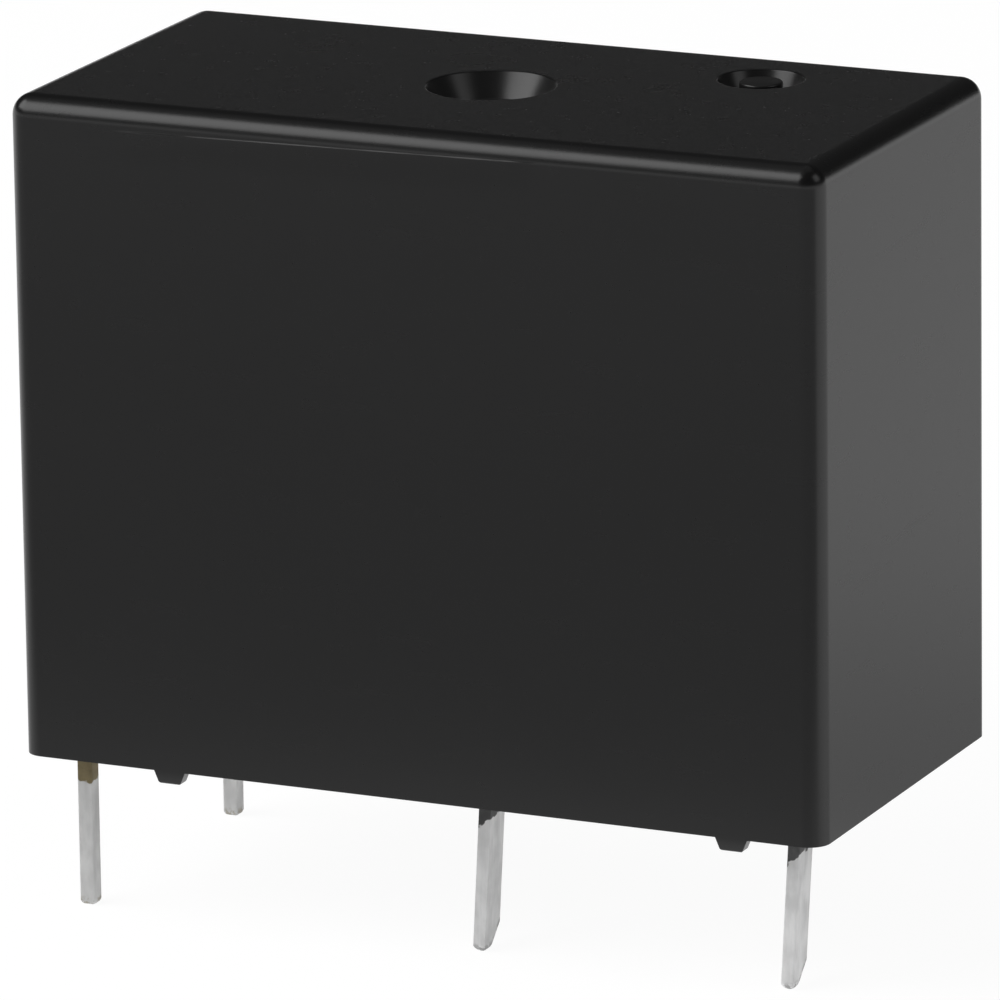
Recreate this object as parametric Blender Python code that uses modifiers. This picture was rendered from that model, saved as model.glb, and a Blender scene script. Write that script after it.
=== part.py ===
"""Sealed printed-circuit power relay with one make contact.

A moulded cover stands over a base that carries an upright coil, a bent armature on the yoke's
edge, a sliding card and a pair of contacts. X runs along the case with the coil at -X, Y runs
across it with the front at -Y, and the four terminal tips stand on Z = 0. Sizes are in metres.
"""

import math

import bmesh
import bpy
from mathutils import Matrix, Vector

# Case
CASE_LENGTH = 0.0200
CASE_WIDTH = 0.0100
CASE_HEIGHT = 0.0156
CASE_WALL = 0.0006
CASE_ROOF = 0.0008
CASE_EDGE_RADIUS = 0.0005
CASE_INNER_RADIUS = 0.0003

# Stand-off feet, moulded flush with the long faces
FOOT_HEIGHT = 0.0003
FOOT_DEPTH = 0.0003
FOOT_ROOT_LENGTH = 0.00078
FOOT_TIP_LENGTH = 0.00053
COIL_FOOT_FROM_END = 0.0038
CONTACT_FOOT_FROM_END = 0.0022

# Moulding gate and vent nib in the roof
GATE_FROM_CONTACT_END = 0.0101
GATE_FROM_FRONT = 0.0049
GATE_RADIUS = 0.0015
GATE_FLOOR_RADIUS = 0.00115
GATE_DEPTH = 0.0006
GATE_BOSS_RADIUS = 0.0018
GATE_BOSS_THICKNESS = 0.0003
VENT_FROM_CONTACT_END = 0.00463
VENT_FROM_BACK = 0.0023
VENT_RADIUS = 0.0010
VENT_FLOOR_RADIUS = 0.00085
VENT_NIB_RADIUS = 0.0005
VENT_DEPTH = 0.0004
VENT_NIB_DROP = 0.00005

# Terminals
TERMINAL_REACH = 0.0035
COIL_PIN_FROM_END = 0.00111
FIXED_BLADE_FROM_END = 0.00111
COIL_PIN_TO_COMMON = 0.01016
ROW_FROM_SIDE = 0.00119
BLADE_INSET = 0.0003
COIL_PIN_SIZE = 0.00038
COIL_PIN_POINT = 0.00006
COIL_POST_HEIGHT = 0.0014
BLADE_THICKNESS = 0.0003
BLADE_WIDTH = 0.0008
BLADE_CUT_LENGTH = 0.00055
BLADE_TIP_WIDTH = 0.00032
BLADE_TIP_ROUND = 0.00013
BLADE_LEAN = math.radians(3.4)
BLADE_SET_LENGTH = 0.0002
STRIP_BEND_RADIUS = 0.00015

# Seal and base
FIT = 0.0001
SEAL_RECESS = 0.0002
SEAL_DEPTH = 0.0008
BASE_THICKNESS = 0.0010
RAIL_THICKNESS = 0.00115
BARRIER_THICKNESS = 0.0006
BARRIER_FROM_TAIL = 0.0009
BARRIER_ABOVE_CARD = 0.0011
STOP_RIB_THICKNESS = 0.0005
STOP_RIB_HEIGHT = 0.0019
STOP_RIB_WIDTH = 0.0030

# Coil
COIL_FROM_END = 0.0050
FLANGE_LENGTH = 0.0071
FLANGE_THICKNESS = 0.0007
FLANGE_CORNER = 0.0006
TOP_FLANGE_SIDE_GAP = 0.0005
PIN_EAR_WIDTH = 0.0014
BARREL_WALL = 0.00045
FLANGE_LIP = 0.0001
TAPE_THICKNESS = 0.0001
LEAD_WIRE = 0.00009
LEAD_WRAPS = 3
LEAD_START = 0.00035
LEAD_SLACK = 0.000015
LEAD_PITCH = 0.0002

# Magnet frame
CORE_RADIUS = 0.0012
CORE_TENON_RADIUS = 0.00085
POLE_RADIUS = 0.0022
POLE_THICKNESS = 0.0006
POLE_CHAMFER = 0.00012
YOKE_THICKNESS = 0.0010
YOKE_TOE = 0.0020
YOKE_BEND_RADIUS = 0.0001
ARMATURE_THICKNESS = 0.0009
ARMATURE_SIDE_STEP = 0.0002
ARMATURE_LIMB = 0.0067
ARMATURE_HEADROOM = 0.0010
ARMATURE_STROKE = math.radians(3.5)
TONGUE_LENGTH = 0.00105
TONGUE_WIDTH = 0.0024
HINGE_WIRE = 0.0003
HINGE_NOTCH_DEPTH = 0.00045
HINGE_NOTCH_HEIGHT = 0.0006
HINGE_HOOK_BELOW_EDGE = 0.0037
HINGE_BEND_RADIUS = 0.0003

# Card
CARD_ABOVE_RIVET = 0.00325
CARD_HEIGHT = 0.0010
CARD_WIDTH = 0.0040
CARD_PRONG = 0.0006
CARD_NOSE_WIDTH = 0.0010
CARD_NOSE_LENGTH = 0.00075
CARD_NOSE_HEIGHT = 0.0008
CARD_TAPER = 0.0012
CARD_EDGE = 0.00008

# Contacts
SPRING_THICKNESS = 0.0002
SPRING_WIDTH = 0.0030
SPRING_TIP_WIDTH = 0.0024
SPRING_FOOT = 0.0007
SPRING_STRAIGHT = 0.0021
SPRING_ABOVE_CONTACT = 0.0011
CONTACT_ABOVE_CARD = 0.0016
CONTACT_RADIUS = 0.0009
CONTACT_THICKNESS = 0.0004
CONTACT_DOME = 0.00015
FIXED_CONTACT_DOME = 0.00005
CONTACT_STEM_RADIUS = 0.0004
CONTACT_TAIL_RADIUS = 0.0006
CONTACT_TAIL_THICKNESS = 0.00015
RIVET_ABOVE_STRIP = 0.0014
RIVET_SPACING = 0.0020
RIVET_SHANK_RADIUS = 0.00028
RIVET_HEAD_RADIUS = 0.0005
RIVET_HEAD_THICKNESS = 0.00022
CLAMP_WIDTH = 0.0040
CLAMP_ABOVE_RIVET = 0.0009
STRIP_INNER_SIDE = 0.0018
FIXED_PLATE_SIDE = 0.0018
FIXED_PLATE_ABOVE_CONTACT = 0.0013
FIXED_SHOULDER_HEIGHT = 0.0030

# Facets
BEND_STEPS = 4
ROUND_STEPS = 32
SMALL_ROUND_STEPS = 20
EDGE_STEPS = 4
DOME_STEPS = 4

# Places that follow from the case
CASE_END = CASE_LENGTH / 2
CASE_SIDE = CASE_WIDTH / 2
INNER_END = CASE_END - CASE_WALL
INNER_SIDE = CASE_SIDE - CASE_WALL
RIM_Z = TERMINAL_REACH + FOOT_HEIGHT
TOP_Z = RIM_Z + CASE_HEIGHT
ROOF_Z = TOP_Z - CASE_ROOF

# Places of the terminals
COIL_PIN_X = COIL_PIN_FROM_END - CASE_END
COMMON_X = COIL_PIN_X + COIL_PIN_TO_COMMON
FIXED_X = CASE_END - FIXED_BLADE_FROM_END
ROW_Y = CASE_SIDE - ROW_FROM_SIDE
BLADE_FRONT = BLADE_INSET - ROW_Y - BLADE_WIDTH / 2
BLADE_BACK = BLADE_FRONT + BLADE_WIDTH

# Levels of the seal, base and coil, from the rim upwards
SEAL_LOW = RIM_Z + SEAL_RECESS
SEAL_HIGH = SEAL_LOW + SEAL_DEPTH
BASE_LOW = SEAL_HIGH + FIT
BASE_HIGH = BASE_LOW + BASE_THICKNESS
YOKE_LOW = BASE_HIGH + FIT
YOKE_HIGH = YOKE_LOW + YOKE_THICKNESS
FLANGE_LOW = YOKE_HIGH + FIT
WINDOW_LOW = FLANGE_LOW + FLANGE_THICKNESS

# Levels of the armature and pole, from the roof downwards
PIVOT_Z = ROOF_Z - ARMATURE_HEADROOM - ARMATURE_THICKNESS - FIT
POLE_LOW = PIVOT_Z - POLE_THICKNESS
WINDOW_HIGH = POLE_LOW - FIT - FLANGE_THICKNESS

# Places along the coil half
COIL_X = COIL_FROM_END - CASE_END
YOKE_FACE_X = COIL_X + FLANGE_LENGTH / 2 + FIT
PIVOT_X = YOKE_FACE_X + YOKE_THICKNESS
YOKE_SIDE = INNER_SIDE - FIT - RAIL_THICKNESS - 3 * FIT
ARMATURE_SIDE = YOKE_SIDE - ARMATURE_SIDE_STEP
BARREL_RADIUS = CORE_RADIUS + FIT + BARREL_WALL
TAPE_RADIUS = FLANGE_LENGTH / 2 - FLANGE_LIP
WINDING_RADIUS = TAPE_RADIUS - TAPE_THICKNESS - FIT

# Card, above the spring's rivets, and the armature's tail that reaches down to it
STRIP_Z = BASE_HIGH + FIT + BLADE_THICKNESS / 2
RIVET_Z = STRIP_Z + RIVET_ABOVE_STRIP
CARD_Z = RIVET_Z + CARD_ABOVE_RIVET
CARD_TOP = CARD_Z + CARD_HEIGHT / 2
CARD_LOW = CARD_Z - CARD_HEIGHT / 2
TAIL_LENGTH = PIVOT_Z - FIT - CARD_TOP
TAIL_FACE_X = PIVOT_X + FIT + ARMATURE_THICKNESS
BARRIER_X = TAIL_FACE_X + BARRIER_FROM_TAIL
CARD_TRAVEL = (PIVOT_Z - CARD_Z) * ARMATURE_STROKE

# Contact spring, carried by the common strip
CONTACT_Z = CARD_TOP + CONTACT_ABOVE_CARD
SPRING_STROKE = CARD_TRAVEL / (CARD_Z - RIVET_Z)
CONTACT_GAP = (CONTACT_Z - RIVET_Z) * SPRING_STROKE + FIT
FIXED_FACE_X = FIXED_X - BLADE_THICKNESS / 2 - FIT - CONTACT_THICKNESS
MOVING_FACE_X = FIXED_FACE_X - CONTACT_GAP
SPRING_RIGHT_X = MOVING_FACE_X - CONTACT_THICKNESS - FIT
SPRING_X = SPRING_RIGHT_X - SPRING_THICKNESS / 2
SPRING_LEFT_X = SPRING_RIGHT_X - SPRING_THICKNESS
CLAMP_X = SPRING_LEFT_X - FIT - BLADE_THICKNESS / 2


def new_collection(name):
    collection = bpy.data.collections.new(name)
    bpy.context.scene.collection.children.link(collection)
    return collection


def clear_scene():
    for item in list(bpy.data.objects):
        bpy.data.objects.remove(item, do_unlink=True)


def make_finish(name, colour, roughness, metallic):
    """A plain surface finish for one sub-part."""
    material = bpy.data.materials.new(name)
    material.use_nodes = True
    shader = material.node_tree.nodes["Principled BSDF"]
    shader.inputs["Base Color"].default_value = (*colour, 1)
    shader.inputs["Roughness"].default_value = roughness
    shader.inputs["Metallic"].default_value = metallic
    return material


clear_scene()
PARTS = new_collection("pcb_power_relay")
GUIDES = new_collection("cutters")

BLACK_MOULDING = (0.022, 0.022, 0.024)
DARK_MOULDING = (0.035, 0.034, 0.034)
EPOXY = (0.045, 0.042, 0.038)
WHITE_MOULDING = (0.62, 0.60, 0.54)
COPPER = (0.60, 0.25, 0.12)
AMBER_FILM = (0.55, 0.30, 0.06)
SOFT_IRON = (0.42, 0.42, 0.43)
TINNED = (0.62, 0.63, 0.64)
SPRING_ALLOY = (0.66, 0.45, 0.24)
SPRING_STEEL = (0.48, 0.48, 0.50)
SILVER_ALLOY = (0.78, 0.77, 0.74)


def add_part(name, mesh, finish):
    """One named sub-part with its own finish."""
    part = bpy.data.objects.new(name, mesh)
    part.data.materials.append(make_finish(name + "_finish", *finish))
    PARTS.objects.link(part)
    return part


def add_guide(name, mesh):
    """A hidden shape that cuts a part or is joined to one."""
    guide = bpy.data.objects.new(name, mesh)
    guide.hide_render = True
    guide.display_type = "WIRE"
    GUIDES.objects.link(guide)
    return guide


def to_mesh(bm, name):
    bmesh.ops.recalc_face_normals(bm, faces=bm.faces)
    mesh = bpy.data.meshes.new(name)
    bm.to_mesh(mesh)
    bm.free()
    return mesh


def block_form(low, high):
    """A box between two corners."""
    bm = bmesh.new()
    low, high = Vector(low), Vector(high)
    bmesh.ops.create_cube(bm, size=1)
    bmesh.ops.scale(bm, vec=high - low, verts=bm.verts)
    bmesh.ops.translate(bm, vec=(low + high) / 2, verts=bm.verts)
    return bm


def round_edges(bm, edges, radius):
    bmesh.ops.bevel(
        bm, geom=edges, offset=radius, segments=EDGE_STEPS, profile=0.5, affect="EDGES"
    )


def upright_edges(bm):
    return [e for e in bm.edges if abs(e.verts[0].co.z - e.verts[1].co.z) > FIT]


def edges_above(bm, level):
    """Every edge that isn't wholly at or below a level."""
    return [e for e in bm.edges if max(v.co.z for v in e.verts) > level]


def change(part, guide, operation):
    modifier = part.modifiers.new(guide.name, "BOOLEAN")
    modifier.operation = operation
    modifier.object = guide
    modifier.solver = "EXACT"


def cut(part, guide):
    change(part, guide, "DIFFERENCE")


def join(part, guide):
    change(part, guide, "UNION")


def cut_box(part, name, low, high):
    cut(part, add_guide(name, to_mesh(block_form(low, high), name)))


def join_box(part, name, low, high):
    join(part, add_guide(name, to_mesh(block_form(low, high), name)))


def cone_form(low_radius, high_radius, low, high, steps):
    """An upright cone or cylinder on the Z axis."""
    bm = bmesh.new()
    bmesh.ops.create_cone(
        bm,
        cap_ends=True,
        segments=steps,
        radius1=low_radius,
        radius2=high_radius,
        depth=high - low,
    )
    bmesh.ops.translate(bm, vec=(0, 0, (low + high) / 2), verts=bm.verts)
    return bm


def cut_round_along_x(part, name, radius, x_range, y, z):
    """A round hole through a plate that stands across the case."""
    low, high = x_range
    bm = cone_form(radius, radius, low, high, SMALL_ROUND_STEPS)
    bmesh.ops.rotate(bm, matrix=Matrix.Rotation(math.pi / 2, 3, "Y"), verts=bm.verts)
    bmesh.ops.translate(bm, vec=(0, y, z), verts=bm.verts)
    cut(part, add_guide(name, to_mesh(bm, name)))


def cut_round_along_z(part, name, radius, z_range, x, y):
    """A round hole down through a part."""
    low, high = z_range
    bm = cone_form(radius, radius, low, high, ROUND_STEPS)
    bmesh.ops.translate(bm, vec=(x, y, 0), verts=bm.verts)
    cut(part, add_guide(name, to_mesh(bm, name)))


def add_turned(name, profile, finish, steps, closed=False):
    """A turned part from (radius, height) points that run down its outer side."""
    mesh = bpy.data.meshes.new(name)
    points = [(radius, 0, height) for radius, height in profile]
    edges = [(i, i + 1) for i in range(len(points) - 1)]
    if closed:
        edges.append((len(points) - 1, 0))
    mesh.from_pydata(points, edges, [])
    part = add_part(name, mesh, finish)
    screw = part.modifiers.new("turn", "SCREW")
    screw.axis = "Z"
    screw.steps = steps
    screw.render_steps = steps
    screw.use_merge_vertices = True
    screw.merge_threshold = 0.000001
    return part


def turn_to_x(part, x, y, z):
    """Lay a turned part's axis along X."""
    part.rotation_euler = (0, math.pi / 2, 0)
    part.location = (x, y, z)


def add_flat(name, outline, low, high, finish):
    """A plate cut to an outline of (x, y) points between two levels."""
    bm = bmesh.new()
    face = bm.faces.new([bm.verts.new((x, y, low)) for x, y in outline])
    raised = bmesh.ops.extrude_face_region(bm, geom=[face])["geom"]
    top = [v for v in raised if isinstance(v, bmesh.types.BMVert)]
    bmesh.ops.translate(bm, vec=(0, 0, high - low), verts=top)
    return add_part(name, to_mesh(bm, name), finish)


def point_along(run, stretches, start, heading):
    """The place and heading after a run along stretches of (length, turn)."""
    x, z = start
    for length, turn in stretches:
        step = min(run, length)
        run -= step
        if turn:
            radius = length / turn
            swept = heading + turn * step / length
            x += radius * (math.sin(swept) - math.sin(heading))
            z -= radius * (math.cos(swept) - math.cos(heading))
            heading = swept
        else:
            x += step * math.cos(heading)
            z += step * math.sin(heading)
    return x, z, heading


def add_bent_sheet(name, outline, thickness, stretches, start, heading, finish, tip_round=0):
    """A sheet part: a flat blank of (run, y) points, bent along its run in the XZ plane."""
    bm = bmesh.new()
    face = bm.faces.new([bm.verts.new((run, y, -thickness / 2)) for run, y in outline])
    raised = bmesh.ops.extrude_face_region(bm, geom=[face])["geom"]
    top = [v for v in raised if isinstance(v, bmesh.types.BMVert)]
    bmesh.ops.translate(bm, vec=(0, 0, thickness), verts=top)
    if tip_round:
        round_tip(bm, tip_round)
    crease = 0
    for length, turn in stretches[:-1]:
        steps = BEND_STEPS if turn else 1
        for _ in range(steps):
            crease += length / steps
            everything = bm.verts[:] + bm.edges[:] + bm.faces[:]
            bmesh.ops.bisect_plane(
                bm, geom=everything, plane_co=(crease, 0, 0), plane_no=(1, 0, 0), dist=1e-7
            )
    for vert in bm.verts:
        x, z, aim = point_along(vert.co.x, stretches, start, heading)
        offset = vert.co.z
        vert.co = (x - offset * math.sin(aim), vert.co.y, z + offset * math.cos(aim))
    return add_part(name, to_mesh(bm, name), finish)


def round_tip(bm, radius):
    """Ease the two long edges at the very end of a blank, where its run starts."""
    end = [e for e in bm.edges if max(v.co.x for v in e.verts) < FIT / 10]
    long_edges = [e for e in end if abs(e.verts[0].co.z - e.verts[1].co.z) < FIT / 10]
    round_edges(bm, long_edges, radius)


def rounded_path(corners, radius):
    """Points along straight runs whose corners are eased by short curves."""
    points = [Vector(corners[0])]
    for before, corner, after in zip(corners, corners[1:], corners[2:]):
        corner = Vector(corner)
        enter = corner + (Vector(before) - corner).normalized() * radius
        leave = corner + (Vector(after) - corner).normalized() * radius
        for step in range(BEND_STEPS + 1):
            t = step / BEND_STEPS
            points.append(enter * (1 - t) ** 2 + corner * 2 * t * (1 - t) + leave * t**2)
    points.append(Vector(corners[-1]))
    return points


def add_wire(name, points, diameter, finish):
    """A round wire through the points, with closed ends."""
    curve = bpy.data.curves.new(name, "CURVE")
    curve.dimensions = "3D"
    curve.bevel_depth = diameter / 2
    curve.bevel_resolution = 2
    curve.use_fill_caps = True
    spline = curve.splines.new("POLY")
    spline.points.add(len(points) - 1)
    for slot, point in zip(spline.points, points):
        slot.co = (*point, 1)
    return add_part(name, curve, finish)


def add_pivot(name, place):
    """An empty that marks where a moving group turns or slides."""
    pivot = bpy.data.objects.new(name, None)
    pivot.location = place
    pivot.empty_display_size = CASE_WALL
    PARTS.objects.link(pivot)
    return pivot


def hang_on(pivot, part):
    """Carry a part on a pivot; a mesh made in place gets its origin there."""
    if part.location.length == 0:
        part.data.transform(Matrix.Translation(-pivot.location))
    else:
        part.location -= pivot.location
    part.parent = pivot


def make_cover():
    """Five-sided moulded cover with a sharp rim, a gate mark, a vent nib and four feet."""
    bm = block_form((-CASE_END, -CASE_SIDE, RIM_Z), (CASE_END, CASE_SIDE, TOP_Z))
    round_edges(bm, edges_above(bm, RIM_Z + FIT), CASE_EDGE_RADIUS)
    cover = add_part("cover", to_mesh(bm, "cover"), (BLACK_MOULDING, 0.42, 0))
    low = (-INNER_END, -INNER_SIDE, RIM_Z - CASE_WALL)
    hollow = block_form(low, (INNER_END, INNER_SIDE, ROOF_Z))
    round_edges(hollow, edges_above(hollow, RIM_Z), CASE_INNER_RADIUS)
    cut(cover, add_guide("cover_hollow", to_mesh(hollow, "cover_hollow")))
    cut_gate_mark(cover)
    cut_vent(cover)
    for end, from_end in ((-1, COIL_FOOT_FROM_END), (1, CONTACT_FOOT_FROM_END)):
        for side in (-1, 1):
            add_foot(cover, end * (CASE_END - from_end), side)


def cut_dish(cover, name, mouth_radius, floor_radius, depth, x, y):
    """A round recess in the roof with a sloping wall and a flat floor."""
    slope = (mouth_radius - floor_radius) / depth
    mouth = mouth_radius + slope * FIT
    bm = cone_form(floor_radius, mouth, TOP_Z - depth, TOP_Z + FIT, ROUND_STEPS)
    bmesh.ops.translate(bm, vec=(x, y, 0), verts=bm.verts)
    cut(cover, add_guide(name, to_mesh(bm, name)))


def cut_gate_mark(cover):
    """Countersunk mark where the moulding gate stood, over a boss under the roof."""
    x = CASE_END - GATE_FROM_CONTACT_END
    y = GATE_FROM_FRONT - CASE_SIDE
    low = ROOF_Z - GATE_BOSS_THICKNESS
    boss = cone_form(GATE_BOSS_RADIUS, GATE_BOSS_RADIUS, low, ROOF_Z + FIT, ROUND_STEPS)
    bmesh.ops.translate(boss, vec=(x, y, 0), verts=boss.verts)
    join(cover, add_guide("gate_boss", to_mesh(boss, "gate_boss")))
    cut_dish(cover, "gate_mark", GATE_RADIUS, GATE_FLOOR_RADIUS, GATE_DEPTH, x, y)


def cut_vent(cover):
    """Round recess with a nib in its middle that can be nipped off as a vent."""
    x = CASE_END - VENT_FROM_CONTACT_END
    y = CASE_SIDE - VENT_FROM_BACK
    cut_dish(cover, "vent_recess", VENT_RADIUS, VENT_FLOOR_RADIUS, VENT_DEPTH, x, y)
    low = TOP_Z - VENT_DEPTH - FIT
    nib = cone_form(VENT_NIB_RADIUS, VENT_NIB_RADIUS, low, TOP_Z - VENT_NIB_DROP, ROUND_STEPS)
    bmesh.ops.translate(nib, vec=(x, y, 0), verts=nib.verts)
    join(cover, add_guide("vent_nib", to_mesh(nib, "vent_nib")))


def add_foot(cover, x, side):
    """Short tapered foot under the outer half of the rim."""
    wall = sorted((side * CASE_SIDE, side * (CASE_SIDE - FOOT_DEPTH)))
    half = FOOT_ROOT_LENGTH / 2
    low = (x - half, wall[0], TERMINAL_REACH)
    bm = block_form(low, (x + half, wall[1], RIM_Z))
    tip = [v for v in bm.verts if v.co.z < RIM_Z - FOOT_HEIGHT / 2]
    taper = (FOOT_TIP_LENGTH / FOOT_ROOT_LENGTH, 1, 1)
    bmesh.ops.scale(bm, vec=taper, verts=tip, space=Matrix.Translation((-x, 0, 0)))
    root = [f for f in bm.faces if f.calc_center_median().z > RIM_Z - FIT]
    raised = bmesh.ops.extrude_face_region(bm, geom=root)["geom"]
    bmesh.ops.delete(bm, geom=root, context="FACES_ONLY")
    top = [v for v in raised if isinstance(v, bmesh.types.BMVert)]
    bmesh.ops.translate(bm, vec=(0, 0, FOOT_HEIGHT), verts=top)
    end = "coil" if x < 0 else "contact"
    name = f"{end}_foot_{'front' if side < 0 else 'back'}"
    join(cover, add_guide(name, to_mesh(bm, name)))


def cut_terminal_ways(part, low, high):
    """Open notches that let the four terminals through the base or the seal."""
    label = part.name
    reach = COIL_PIN_SIZE / 2 + FIT
    for side, end in ((-1, "front"), (1, "back")):
        y = side * ROW_Y
        corner = (-INNER_END - CASE_WALL, y - reach, low - FIT)
        far = (COIL_PIN_X + reach, y + reach, high + FIT)
        cut_box(part, f"{label}_coil_way_{end}", corner, far)
    half = BLADE_THICKNESS / 2 + FIT
    for x, end in ((COMMON_X, "common"), (FIXED_X, "fixed")):
        corner = (x - half, -CASE_SIDE, low - FIT)
        far = (x + half, BLADE_BACK + FIT, high + FIT)
        cut_box(part, f"{label}_{end}_way", corner, far)


def make_seal():
    """Epoxy poured between the cover's rim and the terminals."""
    low = (FIT - INNER_END, FIT - INNER_SIDE, SEAL_LOW)
    bm = block_form(low, (INNER_END - FIT, INNER_SIDE - FIT, SEAL_HIGH))
    seal = add_part("sealing_resin", to_mesh(bm, "sealing_resin"), (EPOXY, 0.25, 0))
    cut_terminal_ways(seal, SEAL_LOW, SEAL_HIGH)


def make_base():
    """Moulded base with rails beside the yoke, a barrier and a stop rib."""
    side = INNER_SIDE - FIT
    low = (FIT - INNER_END, -side, BASE_LOW)
    bm = block_form(low, (INNER_END - FIT, side, BASE_HIGH))
    base = add_part("base", to_mesh(bm, "base"), (DARK_MOULDING, 0.5, 0))
    sunk = BASE_HIGH - BASE_THICKNESS / 2
    for hand, end in ((-1, "front"), (1, "back")):
        edges = sorted((hand * (side - FIT), hand * (side - FIT - RAIL_THICKNESS)))
        low = (COIL_X - YOKE_TOE, edges[0], sunk)
        join_box(base, f"rail_{end}", low, (PIVOT_X, edges[1], YOKE_HIGH))
    barrier_top = CARD_TOP + BARRIER_ABOVE_CARD
    far_x = BARRIER_X + BARRIER_THICKNESS
    join_box(base, "barrier", (BARRIER_X, FIT - side, sunk), (far_x, side - FIT, barrier_top))
    low = (BARRIER_X - FIT, -CARD_WIDTH / 2 - FIT, CARD_LOW - FIT)
    high = (far_x + FIT, CARD_WIDTH / 2 + FIT, barrier_top + FIT)
    cut_box(base, "card_way", low, high)
    low = (BARRIER_X - FIT, -CASE_SIDE, BASE_HIGH)
    high = (far_x + FIT, FIT - STRIP_INNER_SIDE, STRIP_Z + BLADE_THICKNESS / 2 + FIT)
    cut_box(base, "strip_way", low, high)
    rib_x = FIXED_X - BLADE_THICKNESS / 2 - FIT
    low = (rib_x - STOP_RIB_THICKNESS, -STOP_RIB_WIDTH / 2, sunk)
    join_box(base, "stop_rib", low, (rib_x, STOP_RIB_WIDTH / 2, BASE_HIGH + STOP_RIB_HEIGHT))
    cut_terminal_ways(base, BASE_LOW, BASE_HIGH)


def make_bobbin():
    """White bobbin: a barrel between two flanges, with ears that grip the coil pins."""
    half = FLANGE_LENGTH / 2
    side = INNER_SIDE - FIT
    ear_x = FIT - INNER_END
    ear_y = side - PIN_EAR_WIDTH
    outline = [
        (COIL_X + half, side),
        (ear_x, side),
        (ear_x, ear_y),
        (COIL_X - half, ear_y),
        (COIL_X - half, -ear_y),
        (ear_x, -ear_y),
        (ear_x, -side),
        (COIL_X + half, -side),
    ]
    finish = (WHITE_MOULDING, 0.45, 0)
    bobbin = add_flat("bobbin", outline, FLANGE_LOW, WINDOW_LOW, finish)
    barrel = cone_form(BARREL_RADIUS, BARREL_RADIUS, WINDOW_LOW - FIT, WINDOW_HIGH + FIT, ROUND_STEPS)
    bmesh.ops.translate(barrel, vec=(COIL_X, 0, 0), verts=barrel.verts)
    join(bobbin, add_guide("bobbin_barrel", to_mesh(barrel, "bobbin_barrel")))
    top_side = INNER_SIDE - TOP_FLANGE_SIDE_GAP
    low = (COIL_X - half, -top_side, WINDOW_HIGH)
    flange = block_form(low, (COIL_X + half, top_side, WINDOW_HIGH + FLANGE_THICKNESS))
    round_edges(flange, upright_edges(flange), FLANGE_CORNER)
    join(bobbin, add_guide("bobbin_top_flange", to_mesh(flange, "bobbin_top_flange")))
    bore = CORE_RADIUS + FIT
    cut_round_along_z(bobbin, "bobbin_bore", bore, (FLANGE_LOW - FIT, POLE_LOW), COIL_X, 0)
    reach = COIL_PIN_SIZE / 2 + FIT
    for hand, end in ((-1, "front"), (1, "back")):
        y = hand * ROW_Y
        corner = (-INNER_END - FIT, y - reach, FLANGE_LOW - FIT)
        cut_box(bobbin, f"ear_way_{end}", corner, (COIL_PIN_X + reach, y + reach, WINDOW_LOW + FIT))


def make_winding():
    """Enamelled copper winding and the tape round it."""
    low = WINDOW_LOW + FIT
    high = WINDOW_HIGH - FIT
    inner = BARREL_RADIUS + FIT
    ring = [(inner, high), (WINDING_RADIUS, high), (WINDING_RADIUS, low), (inner, low)]
    winding = add_turned("coil_winding", ring, (COPPER, 0.35, 0.6), ROUND_STEPS, closed=True)
    winding.location.x = COIL_X
    inner = WINDING_RADIUS + FIT
    ring = [(inner, high), (TAPE_RADIUS, high), (TAPE_RADIUS, low), (inner, low)]
    tape = add_turned("coil_tape", ring, (AMBER_FILM, 0.3, 0), ROUND_STEPS, closed=True)
    tape.location.x = COIL_X


def make_coil_terminals():
    """Two square pins, each with the end of the winding wrapped round its post."""
    half = COIL_PIN_SIZE / 2
    top = WINDOW_LOW + COIL_POST_HEIGHT
    for hand, end in ((-1, "front"), (1, "back")):
        y = hand * ROW_Y
        bm = block_form((COIL_PIN_X - half, y - half, 0), (COIL_PIN_X + half, y + half, top))
        ends = [e for e in bm.edges if abs(e.verts[0].co.z - e.verts[1].co.z) < FIT]
        bmesh.ops.bevel(bm, geom=ends, offset=COIL_PIN_POINT, segments=1, affect="EDGES")
        name = f"coil_terminal_{end}"
        add_part(name, to_mesh(bm, name), (TINNED, 0.35, 1))
        wraps = lead_points(y)
        add_wire(f"coil_lead_{end}", wraps, LEAD_WIRE, (COPPER, 0.3, 1))


def lead_points(y):
    """A straight run off the winding, then turns that climb the pin's post."""
    radius = COIL_PIN_SIZE / math.sqrt(2) + LEAD_WIRE / 2 + LEAD_SLACK
    span = Vector((COIL_PIN_X - COIL_X, y))
    out = span.normalized()
    hand = math.copysign(1, y)
    start = math.atan2(-hand * out.x, hand * out.y)
    low = WINDOW_LOW + LEAD_START
    steps = LEAD_WRAPS * SMALL_ROUND_STEPS // 2
    turns = []
    for step in range(steps + 1):
        angle = start - hand * math.tau * LEAD_WRAPS * step / steps
        x = COIL_PIN_X + radius * math.cos(angle)
        turns.append(Vector((x, y + radius * math.sin(angle), low + LEAD_PITCH * LEAD_WRAPS * step / steps)))
    run = span.length - TAPE_RADIUS - LEAD_WIRE - FIT
    first = turns[0] - Vector((out.x, out.y, 0)) * run
    return [first] + turns


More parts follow.
